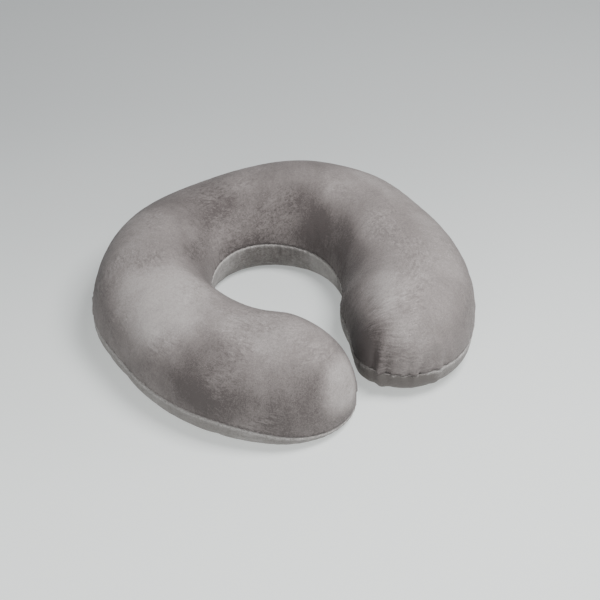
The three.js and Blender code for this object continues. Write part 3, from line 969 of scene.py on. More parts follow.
@dataclass(frozen=True)
class PaintedMetal:
    """Die-cast zinc under a baked enamel, rubbed brighter in places."""

    name: str = "painted_zinc"
    paint: Colour = (0.135, 0.12, 0.115)
    rubbed: Colour = (0.30, 0.285, 0.275)

    def build(self) -> bpy.types.Material:
        """Makes the material.

        Returns:
            The material.
        """
        s = Shader(self.name)
        here = s.object_space()
        cast = s.noise(here, 700.0, 3.0)
        wear = s.within(s.noise(here, 260.0, 4.0, 0.65), 0.56, 0.72)
        edges = s.node("ShaderNodeNewGeometry", {}, {}, "Pointiness")
        rub = (s.within(edges, 0.52, 0.60) * 0.7 + wear * 0.35).clamped()
        return s.finish({
            "Base Color": s.mix(rub, self.paint, self.rubbed),
            "Metallic": s.between(rub, 0.35, 0.95),
            "Roughness": s.between(cast, 0.28, 0.45),
            "Normal": s.bump(cast, 0.00006, 0.4)})


@dataclass(frozen=True)
class Satin:
    """Blank satin label cloth."""

    name: str = "label_satin"
    colour: Colour = (0.80, 0.795, 0.775)

    def build(self) -> bpy.types.Material:
        """Makes the material.

        Returns:
            The material.
        """
        s = Shader(self.name)
        weave = s.node("ShaderNodeTexWave", {"bands_direction": "X"}, {
            "Vector": s.cloth_space(), "Scale": 500.0, "Distortion": 0.4})
        darker = tuple(0.8 * c for c in self.colour)
        return s.finish({
            "Base Color": s.mix(weave, darker, self.colour),
            "Roughness": 0.45, "Normal": s.bump(weave, 0.0001, 0.4)})


@dataclass(frozen=True)
class PaleFloor:
    """The plain pale studio floor, a white sheet that glows: painted light, brighter towards the
    camera, in place of the key's fall-off and its bounce.
    """

    name: str = "pale_floor"
    colour: Colour = (0.50, 0.52, 0.515)
    # painted light: the floor glows, brighter towards the camera, in place of the key's fall-off
    # and bounce
    painted_light_far: Colour = (0.16, 0.165, 0.170)
    painted_light_near: Colour = (0.72, 0.75, 0.73)
    painted_light_towards: Colour = (-0.555, -0.832, 0.0)
    span: tuple[float, float] = (-0.34, 0.36)

    def build(self) -> bpy.types.Material:
        """Makes the material.

        Returns:
            The material.
        """
        s = Shader(self.name)
        uneven = s.noise(s.object_space(), 3.0, 3.0)
        darker = tuple(0.97 * c for c in self.colour)
        along = s.node("ShaderNodeVectorMath", {"operation": "DOT_PRODUCT"},
                       {0: s.object_space(), 1: self.painted_light_towards}, "Value")
        # painted light: the glow grows towards the camera
        painted_floor_light = s.mix(s.within(along, *self.span), self.painted_light_far, self.painted_light_near)
        return s.finish({
            "Base Color": s.mix(uneven, darker, self.colour),
            "Emission Color": painted_floor_light, "Emission Strength": 1.0,
            "Roughness": 0.6, "Specular IOR Level": 0.2})


def dress(piece: bpy.types.Object, material: bpy.types.Material, body: str,
          nodes: Iterable[str] = ()) -> bpy.types.Object:
    """Gives a piece its finish and its place in the frame.

    Args:
        piece: the new piece.
        material: its finish.
        body: the body it rides on.
        nodes: the CAD nodes it replaces.

    Returns:
        The piece.
    """
    piece.data.materials.clear()
    piece.data.materials.append(material)
    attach(piece, body)
    names = list(nodes)
    if names:
        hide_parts(*names)
    LOG.info("%s: %d faces on %s", piece.name, len(piece.data.polygons), body)
    return piece


# ---------------------------------------------------------------- soft layers


@dataclass
class SoftLayers:
    """The foam core and its two-panel liner, each a smooth closed solid under the cover."""

    form: PillowForm
    body: str = "pillow"
    foam_depth: float = 3.7
    liner_outer: float = 2.8
    liner_inner: float = 3.4
    liner_seam: float = 0.45
    rows: int = 40

    def _rows(self, half: Half, angle: np.ndarray, edge: float) -> np.ndarray:
        """Spaces places across a half outline.

        Args:
            half: the upper or the lower half.
            angle: the stations, in degrees.
            edge: how far to stay from the seams, in millimetres.

        Returns:
            Each station's places, as shares of its outline.
        """
        length = self.form.lengths(half, angle)[:, None]
        start = np.minimum(edge / length, 0.1)
        return start + (1 - 2 * start) * np.linspace(0, 1, self.rows)[None, :]

    def foam(self, finish: bpy.types.Material) -> bpy.types.Object:
        """Makes the moulded core.

        Args:
            finish: the foam's material.

        Returns:
            The piece.
        """
        angle = self.form.stations(1.8, 20)
        rings = []
        for half in Half:
            share = self._rows(half, angle, 0.0)
            points, inward = self.form.surface(half, angle, share)
            rings.append(points + inward * self.foam_depth)
        ring = np.concatenate([rings[0], rings[1][:, -2:0:-1]], axis=1)
        tips = [self.form.place(self.form.tip(side, 0, self.foam_depth)) for side in (-1, 1)]
        core = swept("foam_ring", self.form.place(ring), tips)
        dress(core, finish, self.body, ["foam_core"])
        return core

    def liner(self, half: Half, finish: bpy.types.Material) -> bpy.types.Object:
        """Makes one panel of the liner.

        Args:
            half: the upper or the lower panel.
            finish: the knit's material.

        Returns:
            The piece.
        """
        angle = self.form.stations(1.8, 20)
        share = self._rows(half, angle, self.liner_seam)
        points, inward = self.form.surface(half, angle, share)
        faces = [points + inward * self.liner_outer, points + inward * self.liner_inner]
        outline = np.concatenate([faces[0], faces[1][:, ::-1]], axis=1)
        cloth = self.form.cloth(angle, share * self.form.lengths(half, angle)[:, None])
        rise = self.liner_seam * half.value
        depth = (self.liner_outer + self.liner_inner) / 2
        tips = [self.form.place(self.form.tip(side, rise, depth)) for side in (-1, 1)]
        name = half.name.lower()
        panel = swept(f"liner_{name}", self.form.place(outline), tips, uv=cloth)
        dress(panel, finish, self.body, [f"liner_{name}_panel"])
        return panel


@dataclass
class ZipPlan:
    """Where the zip is: its angles along the seam and the cover's opening round it."""

    end: float = 54.0
    mouth_end: float = 55.6
    closed_end: float = 57.6
    half_mouth: float = 5.0

    def mouth(self, angle: np.ndarray, seam: float) -> np.ndarray:
        """Returns half the cover's opening at the outer seam at each angle."""
        share = (self.closed_end - np.abs(angle)) / (self.closed_end - self.mouth_end)
        return seam + (self.half_mouth - seam) * eased(share)


@dataclass
class FabricRelief:
    """How the cover's fabric buckles beside its seams, from a cloth simulation.

    The whole bag is blown up a little while its seams and its base are held, with the fabric
    cut slightly larger than the foam. What is kept is the fine relief, as a height over the
    moulded form; its broad swell is left out, because the foam sets the broad shape.
    """

    form: PillowForm
    grow: float = 0.022
    pressure: float = 4.0
    frames: int = 20
    cap: float = 1.6
    strength: float = 0.8
    taut: float = 0.25
    loose: float = 16.0
    rows: dict[Half, int] = field(default_factory=lambda: {Half.TOP: 29, Half.BOTTOM: 15})
    angle: np.ndarray = field(init=False)
    heights: dict[Half, np.ndarray] = field(init=False)

    def __post_init__(self) -> None:
        self.angle = self.form.stations(1.5, 26)
        self.heights = {half: np.zeros((len(self.angle), count))
                        for half, count in self.rows.items()}
        self._simulate()

    def _bag(self) -> tuple[bpy.types.Object, np.ndarray, np.ndarray]:
        """Makes the closed bag, with its seams and base in a group to hold.

        Returns:
            The bag, its points in millimetres and its outward normals.
        """
        rings = []
        for half, count in self.rows.items():
            share = np.broadcast_to(np.linspace(0, 1, count), (len(self.angle), count))
            rings.append(self.form.surface(half, self.angle, share))
        points = np.concatenate([rings[0][0], rings[1][0][:, -2:0:-1]], axis=1)
        normals = -np.concatenate([rings[0][1], rings[1][1][:, -2:0:-1]], axis=1)
        size = points.shape[1]
        column = np.arange(size)[None, :]
        row = np.arange(len(self.angle))[:, None]
        uneven = 0.12 * (np.sin(1.7 * row + 0.9 * column) + np.sin(0.83 * row - 1.3 * column))
        held = (points[..., 2] < 0.5) | (column == 0) | (column == self.rows[Half.TOP] - 1)
        start = points + normals * np.where(held, 0, uneven - 0.3)[..., None]
        tips = [self.form.place(self.form.tip(side, 0, 0)) for side in (-1, 1)]
        bag = swept("fabric_bag", self.form.place(start), tips)
        group = bag.vertex_groups.new(name="held")
        count = held.size
        group.add(np.flatnonzero(held).tolist() + [count, count + 1], 1.0, "REPLACE")
        return bag, start, normals

    def _simulate(self) -> None:
        """Blows the bag up and keeps the fine relief."""
        bag, start, normals = self._bag()
        cloth = bag.modifiers.new("cloth", "CLOTH")
        settings = cloth.settings
        settings.quality = 5
        settings.mass = 0.3
        settings.tension_stiffness = 25
        settings.compression_stiffness = 25
        settings.shear_stiffness = 8
        settings.bending_stiffness = 0.15
        settings.vertex_group_mass = "held"
        settings.pin_stiffness = 50
        settings.shrink_min = -self.grow
        settings.use_pressure = True
        settings.uniform_pressure_force = self.pressure
        settings.effector_weights.gravity = 0
        cloth.collision_settings.use_collision = False
        cloth.point_cache.frame_start = 1
        cloth.point_cache.frame_end = self.frames
        scene = bpy.context.scene
        for moment in range(1, self.frames + 1):
            scene.frame_set(moment)
        result = bag.evaluated_get(bpy.context.evaluated_depsgraph_get())
        flat = np.empty(len(result.data.vertices) * 3)
        result.data.vertices.foreach_get("co", flat)
        count = start[..., 0].size
        moved = flat.reshape(-1, 3)[:count].reshape(start.shape) - self.form.place(start)
        bpy.data.objects.remove(bag)
        scene.frame_set(1)
        rise = (moved / MM * normals).sum(-1)
        LOG.info("cloth: the fabric moved %.2f to %.2f mm", rise.min(), rise.max())
        top = self.rows[Half.TOP]
        sides = {Half.TOP: rise[:, :top],
                 Half.BOTTOM: np.concatenate([rise[:, :1], rise[:, :top - 2:-1]], axis=1)}
        for half, height in sides.items():
            fine = height - self._broad(height)
            fine *= self._beside_seams(half)
            fine = self.cap * np.tanh(fine * self.strength / self.cap)
            self.heights[half] = fine
            LOG.info("relief %s: %.2f mm rms, %.2f mm at most", half.name, fine.std(),
                     np.abs(fine).max())

    def _beside_seams(self, half: Half) -> np.ndarray:
        """Says how free the fabric is.

        Args:
            half: the upper or the lower panel.

        Returns:
            1 beside a seam, falling to little over the foam.
        """
        length = self.form.lengths(half, self.angle)[:, None]
        share = np.linspace(0, 1, self.rows[half])[None, :]
        edge = np.minimum(share, 1 - share) * length
        return self.taut + (1 - self.taut) * np.exp(-((edge / self.loose) ** 2))

    def _broad(self, height: np.ndarray) -> np.ndarray:
        """Averages a height along the arm.

        Args:
            height: the height, stations x places.

        Returns:
            Its broad part.
        """
        reach = 7
        window = np.hanning(2 * reach + 3)[1:-1]
        window /= window.sum()
        padded = np.pad(height, ((reach, reach), (0, 0)), mode="edge")
        return np.stack([np.convolve(padded[:, j], window, mode="valid")
                         for j in range(height.shape[1])], axis=1)

    def at(self, half: Half, angle: np.ndarray, share: np.ndarray) -> np.ndarray:
        """Reads the relief.

        Args:
            half: the upper or the lower panel.
            angle: the stations, in degrees.
            share: for each station, the places across the panel.

        Returns:
            The height over the form, in millimetres.
        """
        heights = self.heights[half]
        i = np.interp(angle, self.angle, np.arange(len(self.angle)))[:, None] + 0 * share
        j = np.clip(share, 0, 1) * (heights.shape[1] - 1)
        i0 = np.clip(i.astype(int), 0, heights.shape[0] - 2)
        j0 = np.clip(j.astype(int), 0, heights.shape[1] - 2)
        u, v = eased(i - i0), eased(j - j0)
        low = heights[i0, j0] * (1 - v) + heights[i0, j0 + 1] * v
        high = heights[i0 + 1, j0] * (1 - v) + heights[i0 + 1, j0 + 1] * v
        return low * (1 - u) + high * u


@dataclass(frozen=True)
class Fold:
    """A fold that runs up from the seam at a tip: its place, height, width and reach in mm."""

    angle: float
    height: float
    width: float
    reach: float


@dataclass
class Cover:
    """The velour cover: two panels with rolled edges, drawn in by the perimeter seam."""

    form: PillowForm
    zip_plan: ZipPlan
    relief: FabricRelief
    body: str = "pillow"
    thickness: float = 1.6
    seam: float = 0.15
    roll: float = 1.5
    near_rows: tuple[float, ...] = (0.0, 0.08, 0.25, 0.5, 0.85, 1.3, 1.9, 2.8, 4.0, 5.6)
    middle_rows: int = 44
    pucker_reach: float = 8.0
    pucker_height: float = 0.6
    folds: tuple[Fold, ...] = (
        Fold(175.0, 3.9, 2.9, 17), Fold(167.0, 1.9, 2.0, 13), Fold(159.5, 1.7, 2.4, 20),
        Fold(171.5, -0.8, 2.0, 14), Fold(-176.0, 1.2, 2.6, 16))

    def _distances(self, half: Half, angle: np.ndarray) -> np.ndarray:
        """Spaces the rows of a panel, closely over its rolled edges.

        Args:
            half: the upper or the lower panel.
            angle: the stations, in degrees.

        Returns:
            Each station's distances from the outer seam, in millimetres.
        """
        length = self.form.lengths(half, angle)[:, None]
        near = np.array(self.near_rows)[None, :] * np.minimum(length / 40, 1)
        mouth = self.zip_plan.mouth(angle, self.seam)[:, None]
        start = np.minimum(mouth, length * 0.1) + near
        finish = length - np.minimum(self.seam, length * 0.1) - near[:, ::-1]
        share = np.linspace(0, 1, self.middle_rows + 2)[1:-1][None, :]
        middle = start[:, -1:] + (finish[:, :1] - start[:, -1:]) * share
        return np.concatenate([start, middle, finish], axis=1)

    def _roll_depth(self, distance: np.ndarray) -> np.ndarray:
        """Returns how far the cloth has rolled in at a distance from its edge."""
        share = np.clip(distance / self.roll, 0, 1)
        return self.roll * (1 - np.sqrt(np.maximum(1 - (1 - share) ** 2, 0)))

    def _puckers(self, angle: np.ndarray, edge: np.ndarray, zone: Zone,
                 half: Half) -> np.ndarray:
        """Gathers the cloth beside a seam.

        Args:
            angle: the stations, in degrees.
            edge: how far each point is from the seam.
            zone: which seam.
            half: the upper or the lower panel.

        Returns:
            How far each point stands out, in millimetres.
        """
        run = self.form.seam_run(zone, angle)[:, None]
        phase = 1.3 if half is Half.TOP else 4.1
        fine = (np.sin(run / 0.71 + 2.2 * np.sin(run / 5.3 + phase))
                + np.sin(run / 1.09 + 1.7 * np.sin(run / 7.9) + 2.3 * phase)) / 2
        bunch = 0.55 + 0.45 * np.sin(run / 13.7 + phase) * np.sin(run / 8.3 + 2 * phase)
        return self.pucker_height * fine * bunch * np.exp(-((edge / self.pucker_reach) ** 1.2))

    def _folds(self, angle: np.ndarray, points: np.ndarray, half: Half) -> np.ndarray:
        """Folds the cloth at the tips.

        Args:
            angle: the stations, in degrees.
            points: the points of the form.
            half: the upper or the lower panel.

        Returns:
            How far each point stands out, in millimetres.
        """
        total = np.zeros(points.shape[:2])
        for fold in self.folds:
            ends = np.array([fold.angle - 0.3, fold.angle, fold.angle + 0.3])
            start, root, end = self.form.beside(Zone.OUTER, ends, 0.0)[0]
            along = (end - start) / np.linalg.norm(end - start)
            away = points - root
            across = (away @ along) / fold.width
            ridge = np.exp(-across ** 2) - 0.6 * np.exp(-((np.abs(across) - 1.9) / 0.9) ** 2)
            fade = np.exp(-((np.linalg.norm(away, axis=-1) / fold.reach) ** 2))
            same_arm = (angle * fold.angle > 0)[:, None]
            total += same_arm * fold.height * ridge * fade * (1 if half is Half.TOP else 0.6)
        return total

    def panel(self, half: Half, finish: bpy.types.Material) -> bpy.types.Object:
        """Makes one panel.

        Args:
            half: the upper or the lower panel.
            finish: the velour.

        Returns:
            The piece.
        """
        angle = self.form.stations(0.8, 40)
        distance = self._distances(half, angle)
        length = self.form.lengths(half, angle)[:, None]
        points, inward = self.form.surface(half, angle, distance / length)
        from_outer = distance - distance[:, :1]
        from_inner = distance[:, -1:] - distance
        depth = self._roll_depth(from_outer) + self._roll_depth(from_inner)
        stand = (self._puckers(angle, from_outer, Zone.OUTER, half)
                 + self._puckers(angle, from_inner, Zone.INNER, half))
        stand = stand * np.minimum(length / 60, 1)
        stand += self.relief.at(half, angle, distance / length)
        stand += self._folds(angle, points, half)
        outer = points + inward * (depth - stand)[..., None]
        outer[..., 2] = np.maximum(outer[..., 2], 0)
        inner = points + inward * (self.thickness + 0.5 * depth)[..., None]
        outline = np.concatenate([outer, inner[:, ::-1]], axis=1)
        cloth = self.form.cloth(angle, distance)
        rise = self.seam * half.value
        tips = [self.form.place(self.form.tip(side, rise, self.roll)) for side in (-1, 1)]
        name = half.name.lower()
        panel = swept(f"velour_{name}", self.form.place(outline), tips, uv=cloth)
        edge = np.minimum(from_outer, from_inner)
        edge = np.concatenate([edge, edge[:, ::-1]], axis=1).ravel()
        layer = panel.data.attributes.new("edge", "FLOAT", "POINT")
        layer.data.foreach_set("value", np.append(edge, np.zeros(len(tips))))
        dress(panel, finish, self.body, [f"cover_{name}_panel"])
        return panel


# ---------------------------------------------------------------- sewing, zip and label


@dataclass(frozen=True)
class SewnRow:
    """A row of separate stitches: their pitch, length, thread and how far they stand up."""

    pitch: float = 3.0
    length: float = 2.5
    radius: float = 0.24
    bow: float = 0.25
    depth: float = -0.28
    slant: float = 0.0

    def sew(self, name: str, form: PillowForm, path: "SeamPath") -> bpy.types.Object:
        """Sews the row along a path.

        Args:
            name: the piece's name.
            form: the pillow that the path lies on.
            path: where the row runs.

        Returns:
            One piece that holds every stitch.
        """
        points, inward = path.resampled(form, self.pitch)
        points = points + inward * self.depth
        along = np.gradient(points, axis=0)
        along /= np.linalg.norm(along, axis=1, keepdims=True)
        across = np.cross(inward, along)
        sway = self.slant * np.where(np.arange(len(points)) % 2 == 0, 1, -1)[:, None]
        along = along + across * sway
        along /= np.linalg.norm(along, axis=1, keepdims=True)
        return many_stitches(name, form.place(points), along, -inward,
                             self.length * MM, self.radius * MM, self.bow * MM)


@dataclass(frozen=True)
class SeamPath:
    """A run beside a seam: pieces of it are (zone, start angle, end angle)."""

    legs: tuple[tuple[Zone, float, float], ...]
    rise: float = 0.0

    def resampled(self, form: PillowForm, pitch: float) -> tuple[np.ndarray, np.ndarray]:
        """Spaces points evenly along the run.

        Args:
            form: the pillow that the run lies on.
            pitch: the spacing, in millimetres.

        Returns:
            The points in millimetres, and the inward normals there.
        """
        points, normals = [], []
        for zone, start, end in self.legs:
            count = max(8, round(abs(end - start) / 0.25))
            spread = np.linspace(0, 1, count)
            angle = start + (end - start) * spread
            p, n = form.beside(zone, angle, self.rise)
            points.append(p)
            normals.append(n)
        path = np.concatenate(points)
        normal = np.concatenate(normals)
        run = np.concatenate([[0], np.linalg.norm(np.diff(path, axis=0), axis=1).cumsum()])
        places = np.linspace(0, run[-1], max(2, round(run[-1] / pitch)) + 1)
        places = (places[:-1] + places[1:]) / 2
        even = np.stack([np.interp(places, run, path[:, k]) for k in range(3)], axis=1)
        facing = np.stack([np.interp(places, run, normal[:, k]) for k in range(3)], axis=1)
        facing /= np.linalg.norm(facing, axis=1, keepdims=True)
        return even, facing


@dataclass
class Sewing:
    """The threads of the cover's and the liner's perimeter seams."""

    form: PillowForm
    zip_plan: ZipPlan
    body: str = "pillow"
    tip: float = 177.39
    cover_row: SewnRow = SewnRow(2.4, 2.5, 0.26, 0.1, 0.75, 0.28)
    liner_row: SewnRow = SewnRow(3.0, 2.5, 0.16, 0.1, 3.1, 0.1)

    def build(self, thread: bpy.types.Material, fine: bpy.types.Material) -> None:
        """Sews both seams.

        Args:
            thread: the finish of the cover's thread.
            fine: the finish of the liner's thread.
        """
        start = self.zip_plan.closed_end + 0.6
        cover = SeamPath(((Zone.OUTER, start, self.tip), (Zone.INNER, self.tip, -self.tip),
                          (Zone.OUTER, -self.tip, -start)))
        piece = self.cover_row.sew("cover_seam_stitches", self.form, cover)
        dress(piece, thread, self.body, ["cover_seam_thread"])
        liner = SeamPath(((Zone.OUTER, 0.3, self.tip), (Zone.INNER, self.tip, -self.tip),
                          (Zone.OUTER, -self.tip, -0.3)))
        piece = self.liner_row.sew("liner_seam_stitches", self.form, liner)
        dress(piece, fine, self.body, ["liner_seam_thread"])


@dataclass
class Zip:
    """The coil zip along the back: tapes, coils, stitching, stops, slider and pull."""

    form: PillowForm
    body: str = "pillow"
    radius: float = 148.0
    tape_end: float = 57.0
    tape_sinks: tuple[float, float] = (54.9, 55.8)
    tape_under: float = 1.9
    tape_rows: Stops = ((0.45, 0.5), (4.1, 0.5), (5.0, 1.9), (12.5, 1.9))
    tape_thickness: float = 0.45
    chain_end: float = 53.6
    pitch: float = 1.3
    wire: float = 0.29
    coil_rise: tuple[float, float] = (0.62, 2.1)
    coil_depth: tuple[float, float] = (-0.88, 0.2)
    stitch_rise: float = 7.6
    topstitch: SewnRow = SewnRow(3.1, 2.6, 0.26, 0.3, -0.32)
    tack_angle: float = 58.3
    tack_half: float = 5.4
    tack_pitch: float = 0.42
    tack_depth: float = -0.55
    tack_slope: float = 0.12
    top_stop: float = 54.4
    bottom_stop: float = -54.45

    def tape(self, side: Half, finish: bpy.types.Material) -> None:
        """Weaves one tape, level beside the chain and then tucked under the cover's edge.

        Args:
            side: the upper or the lower side of the chain.
            finish: its material.
        """
        angle = np.linspace(-self.tape_end, self.tape_end, 221)
        rise = np.array([row[0] for row in self.tape_rows])
        depth = np.array([row[1] for row in self.tape_rows])
        rows = np.linspace(rise[0], rise[-1], 26)
        sunk = np.interp(rows, rise, depth)
        sunk[1:-1] = (sunk[:-2] + 2 * sunk[1:-1] + sunk[2:]) / 4
        start, end = self.tape_sinks
        tail = eased((np.abs(angle) - start) / (end - start))[:, None]
        faces = []
        for under in (0.0, self.tape_thickness):
            face = []
            for row, depth in zip(rows, sunk):
                points, inward = self.form.beside(Zone.OUTER, angle, side.value * row)
                face.append(points + inward * (depth + (self.tape_under - depth) * tail + under))
            faces.append(np.stack(face, axis=1))
        outline = np.concatenate([faces[0], faces[1][:, ::-1]], axis=1)
        run = np.radians(angle)[:, None] * self.radius + 0 * rows[None, :]
        uv = np.stack([run, rows[None, :] + 0 * run], axis=-1) * MM
        cloth = np.concatenate([uv, uv[:, ::-1]], axis=1)
        place = "upper" if side is Half.TOP else "lower"
        tape = swept(f"tape_{place}", self.form.place(outline), uv=cloth)
        dress(tape, finish, self.body, [f"zip_tape_{place}"])

    def coil(self, side: Half, finish: bpy.types.Material) -> None:
        """Winds one coil: a nylon wire whose loops are the teeth.

        Args:
            side: the upper or the lower side of the chain.
            finish: its material.
        """
        loops = round(2 * math.radians(self.chain_end) * self.radius / self.pitch)
        each = 14
        turn = np.linspace(0, loops, loops * each + 1)
        phase = 0.0 if side is Half.TOP else 0.5
        swing = 2 * np.pi * (turn + phase)
        low, high = self.coil_rise
        near, far = self.coil_depth
        angle = -self.chain_end + 2 * self.chain_end * turn / loops
        square = np.sign(np.cos(swing)) * np.abs(np.cos(swing)) ** 0.7
        rise = (low + high) / 2 - (high - low) / 2 * square
        depth = (near + far) / 2 - (far - near) / 2 * np.sin(swing)
        radial = np.radians(angle)
        seam = float(self.form.outer_seam.at(np.array([0.0]))[0])
        radius = self.radius - depth
        path = np.stack([radius * np.sin(radial), radius * np.cos(radial),
                         seam + side.value * rise], axis=1)
        thick = self.wire * (1 + 0.22 * np.clip(square, 0, 1) ** 2)
        rings = tube_rings(self.form.place(path), thick * MM, 6)
        place = "upper" if side is Half.TOP else "lower"
        coil = swept(f"coil_{place}", rings)
        dress(coil, finish, self.body, [f"zip_coil_{place}"])

    def stitching(self, side: Half, finish: bpy.types.Material) -> None:
        """Sews the row that holds a tape to the cover.

        Args:
            side: the upper or the lower side of the chain.
            finish: its material.
        """
        path = SeamPath(((Zone.OUTER, -self.chain_end - 0.4, self.chain_end + 0.4),),
                        side.value * self.stitch_rise)
        place = "upper" if side is Half.TOP else "lower"
        row = self.topstitch.sew(f"topstitching_{place}", self.form, path)
        dress(row, finish, self.body, [f"zip_stitching_{place}"])

    def tack(self, side: int, finish: bpy.types.Material) -> None:
        """Sews one bar tack across an end of the opening.

        Args:
            side: 1 for the right end, -1 for the left.
            finish: its material.
        """
        count = round(2 * self.tack_half / self.tack_pitch)
        rises = np.linspace(-self.tack_half, self.tack_half, count)
        angle = np.array([side * self.tack_angle])
        points, normals = [], []
        for rise in rises:
            p, n = self.form.beside(Zone.OUTER, angle, float(rise))
            points.append(p[0] + n[0] * self.tack_depth)
            normals.append(-n[0])
        out = np.stack(normals)
        along = np.cross(out, np.array([0.0, 0.0, 1.0]))
        slope = self.tack_slope * np.where(np.arange(count) % 2 == 0, 1, -1)[:, None]
        along = along + np.array([[0.0, 0.0, 1.0]]) * slope
        along /= np.linalg.norm(along, axis=1, keepdims=True)
        name = "right" if side > 0 else "left"
        piece = many_stitches(f"tack_{name}", self.form.place(np.stack(points)), along, out,
                              2.3 * MM, 0.25 * MM, 0.3 * MM)
        dress(piece, finish, self.body, [f"bar_tack_{name}"])

    def stop(self, name: str, node: str, angle: float, rises: tuple[float, float],
             finish: bpy.types.Material) -> None:
        """Crimps one metal stop on the chain, a rounded clip with a waist.

        Args:
            name: the piece's name.
            node: the node it replaces.
            angle: where it is along the chain, in degrees.
            rises: its lower and upper ends, from the seam in millimetres.
            finish: its material.
        """
        length, near, far = 2.0, -1.35, 0.15
        rows, around = 13, 20
        low, high = rises
        turn = math.radians(angle)
        along = np.array([math.cos(turn), -math.sin(turn), 0])
        out = np.array([math.sin(turn), math.cos(turn), 0])
        up = np.array([0.0, 0.0, 1.0])
        seam = float(self.form.outer_seam.at(np.array([0.0]))[0])
        middle = out * (self.radius - (near + far) / 2) + up * (seam + (low + high) / 2)
        swing = np.linspace(0, 2 * np.pi, around, endpoint=False)
        square = np.stack([np.sign(np.cos(swing)) * np.abs(np.cos(swing)) ** 0.4,
                           np.sign(np.sin(swing)) * np.abs(np.sin(swing)) ** 0.4], axis=1)
        rings = []
        for share in np.linspace(-1, 1, rows):
            full = max(1 - abs(share) ** 6, 0.05) ** 0.25
            waist = 1 - 0.12 * math.exp(-(share / 0.25) ** 2)
            shift = middle + up * share * (high - low) / 2
            rings.append(shift + along * square[:, :1] * length / 2 * full * waist
                         + out * square[:, 1:] * (far - near) / 2 * full * waist)
        piece = swept(name, self.form.place(np.stack(rings)))
        dress(piece, finish, self.body, [node])

    def build(self) -> None:
        """Makes the whole zip."""
        woven, nylon = WovenTape().build(), Nylon().build()
        thread, metal = Thread().build(), PaintedMetal().build()
        for side in Half:
            self.tape(side, woven)
            self.coil(side, nylon)
            self.stitching(side, thread)
        self.tack(1, thread)
        self.tack(-1, thread)
        self.stop("stop_upper", "zip_top_stop_upper", self.top_stop, (0.6, 3.4), metal)
        self.stop("stop_lower", "zip_top_stop_lower", self.top_stop, (-3.4, -0.6), metal)
        self.stop("stop_bottom", "zip_bottom_stop", self.bottom_stop, (-3.2, 3.2), metal)
        HardPart("zip_slider_body", "slider", "zip_slider", 0.22).build(metal)
        HardPart("zip_pull_tab", "pull_tab", "zip_pull", 0.2).build(metal)


@dataclass
class HardPart:
    """A die-cast piece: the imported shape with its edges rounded."""

    node: str
    name: str
    body: str
    edge: float

    def build(self, finish: bpy.types.Material) -> bpy.types.Object:
        """Makes the piece.

        Args:
            finish: its metal.

        Returns:
            The piece.
        """
        source = frame["nodes"][self.node]
        work = bmesh.new()
        work.from_mesh(source.data)
        work.transform(source.matrix_world)
        bmesh.ops.remove_doubles(work, verts=work.verts, dist=0.00002)
        bmesh.ops.dissolve_limit(work, angle_limit=math.radians(2), verts=work.verts,
                                 edges=work.edges)
        sharp = [e for e in work.edges
                 if len(e.link_faces) == 2 and e.calc_face_angle(0) > math.radians(25)]
        bmesh.ops.bevel(work, geom=sharp, offset=self.edge * MM, segments=3, profile=0.5,
                        affect="EDGES", clamp_overlap=True)
        mesh = bpy.data.meshes.new(self.name)
        work.to_mesh(mesh)
        work.free()
        mesh.polygons.foreach_set("use_smooth", [False] * len(mesh.polygons))
        piece = bpy.data.objects.new(self.name, mesh)
        bpy.context.scene.collection.objects.link(piece)
        return dress(piece, finish, self.body, [self.node])


@dataclass
class CareLabel:
    """The blank label sewn in the seam, lying inside the lower panel on the liner."""

    form: PillowForm
    body: str = "pillow"
    start: float = -73.2
    end: float = -65.4
    near: float = 2.2
    length: float = 22.0
    depth: tuple[float, float] = (1.98, 2.26)

    def build(self, finish: bpy.types.Material) -> None:
        """Makes the label.

        Args:
            finish: its material.
        """
        angle = np.linspace(self.start, self.end, 24)
        distance = np.linspace(self.near, self.near + self.length, 26)
        share = distance[None, :] / self.form.lengths(Half.BOTTOM, angle)[:, None]
        points, inward = self.form.surface(Half.BOTTOM, angle, share)
        outer, inner = (points + inward * d for d in self.depth)
        outline = np.concatenate([outer, inner[:, ::-1]], axis=1)
        width = float(np.linalg.norm(np.diff(outer[:, 0], axis=0), axis=1).sum())
        run = np.linspace(0, width, len(angle))[:, None] + 0 * distance[None, :]
        uv = np.stack([run, distance[None, :] + 0 * run], axis=-1) * MM
        cloth = np.concatenate([uv, uv[:, ::-1]], axis=1)
        label = swept("label", self.form.place(outline), uv=cloth)
        dress(label, finish, self.body, ["care_label"])


# ---------------------------------------------------------------- studio


@dataclass(frozen=True)
class Lamp:
    """One soft square light: where it hangs, its size in metres and its power in watts."""

    name: str
    place: tuple[float, float, float]
    size: float
    power: float


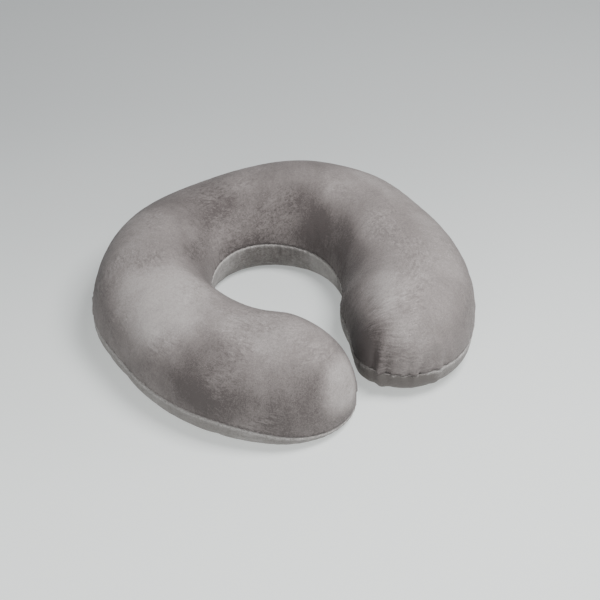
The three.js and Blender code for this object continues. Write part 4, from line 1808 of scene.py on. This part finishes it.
@dataclass
class Studio:
    """The pale floor, the soft lights and the camera."""

    form: PillowForm
    lamps: tuple[Lamp, ...] = (
        Lamp("key", (0.20, -0.36, 0.90), 0.42, 13.5),
        Lamp("left", (-0.80, -0.75, 0.42), 0.5, 4.5),
        Lamp("right", (0.85, -0.62, 0.34), 0.35, 3.0))
    lamps_aim: tuple[float, float, float] = (0, -0.03, 0.03)
    room: Colour = (0.93, 0.96, 1.0)
    room_strength: float = 0.20
    azimuth: float = 33.73
    elevation: float = 39.26
    distance: float = 1.0643
    target: tuple[float, float, float] = (-0.00283, -0.0206, 0.040)
    lens: float = 85.5
    floor_size: float = 6.0

    def camera(self) -> None:
        """Sets the camera at the viewing angle."""
        turn, up = math.radians(self.azimuth), math.radians(self.elevation)
        aim = Vector(self.target) + Vector((0, self.form.centre.y, 0))
        away = Vector((-math.sin(turn) * math.cos(up), -math.cos(turn) * math.cos(up),
                       math.sin(up)))
        data = bpy.data.cameras.new("camera")
        data.lens = self.lens
        data.sensor_width = 36
        data.shift_y = -1 / 600
        camera = bpy.data.objects.new("camera", data)
        camera.location = aim + away * self.distance
        camera.rotation_euler = (-away).to_track_quat("-Z", "Y").to_euler()
        bpy.context.scene.collection.objects.link(camera)
        bpy.context.scene.camera = camera

    def floor(self, finish: bpy.types.Material) -> None:
        """Lays the floor.

        Args:
            finish: its material.
        """
        size = self.floor_size
        corners = np.array([(-size, -size, 0), (size, -size, 0), (size, size, 0),
                            (-size, size, 0)], dtype=float)
        floor = make_object("floor", corners, [[0, 1, 2, 3]], smooth=False)
        floor.location.z = -0.0002
        floor.data.materials.append(finish)

    def hang(self, lamp: Lamp) -> None:
        """Hangs one soft square light.

        Args:
            lamp: the light.
        """
        data = bpy.data.lights.new(lamp.name, "AREA")
        data.shape = "SQUARE"
        data.size = lamp.size
        data.energy = lamp.power
        light = bpy.data.objects.new(lamp.name, data)
        light.location = lamp.place
        direction = Vector(self.lamps_aim) - Vector(lamp.place)
        light.rotation_euler = direction.to_track_quat("-Z", "Y").to_euler()
        bpy.context.scene.collection.objects.link(light)

    def world(self) -> None:
        """Sets the even light of the room."""
        world = bpy.data.worlds.new("room")
        world.use_nodes = True
        background = world.node_tree.nodes["Background"]
        background.inputs["Color"].default_value = (*self.room, 1)
        background.inputs["Strength"].default_value = self.room_strength
        bpy.context.scene.world = world

    def build(self) -> None:
        """Sets up everything round the object."""
        self.camera()
        self.floor(PaleFloor().build())
        for lamp in self.lamps:
            self.hang(lamp)
        self.world()


def main() -> None:
    """Builds the pillow, piece by piece."""
    logging.basicConfig(level=logging.INFO, format="%(name)s %(message)s")
    run = next(j for j in frame["joints"] if j["name"] == "zip_run")
    form = PillowForm(centre=Vector(run["pos_m"]))
    zip_plan = ZipPlan()
    layers = SoftLayers(form)
    layers.foam(MemoryFoam().build())
    knit = Knit().build()
    velour = {Half.TOP: Velour().build(form),
              # the lower panel's seam tone of 0.26 is painted bounce light
              Half.BOTTOM: Velour("velour_under", (0.12, 0.108, 0.102), (0.265, 0.250, 0.240),
                                  (0.46, 0.44, 0.425), half=Half.BOTTOM,
                                  painted_seam_tone=0.26).build(form)}
    cover = Cover(form, zip_plan, FabricRelief(form))
    for half in Half:
        layers.liner(half, knit)
        cover.panel(half, velour[half])
    Sewing(form, zip_plan).build(Thread().build(), knit)
    Zip(form).build()
    CareLabel(form).build(Satin().build())
    Studio(form).build()


if __name__ == "__main__":
    main()
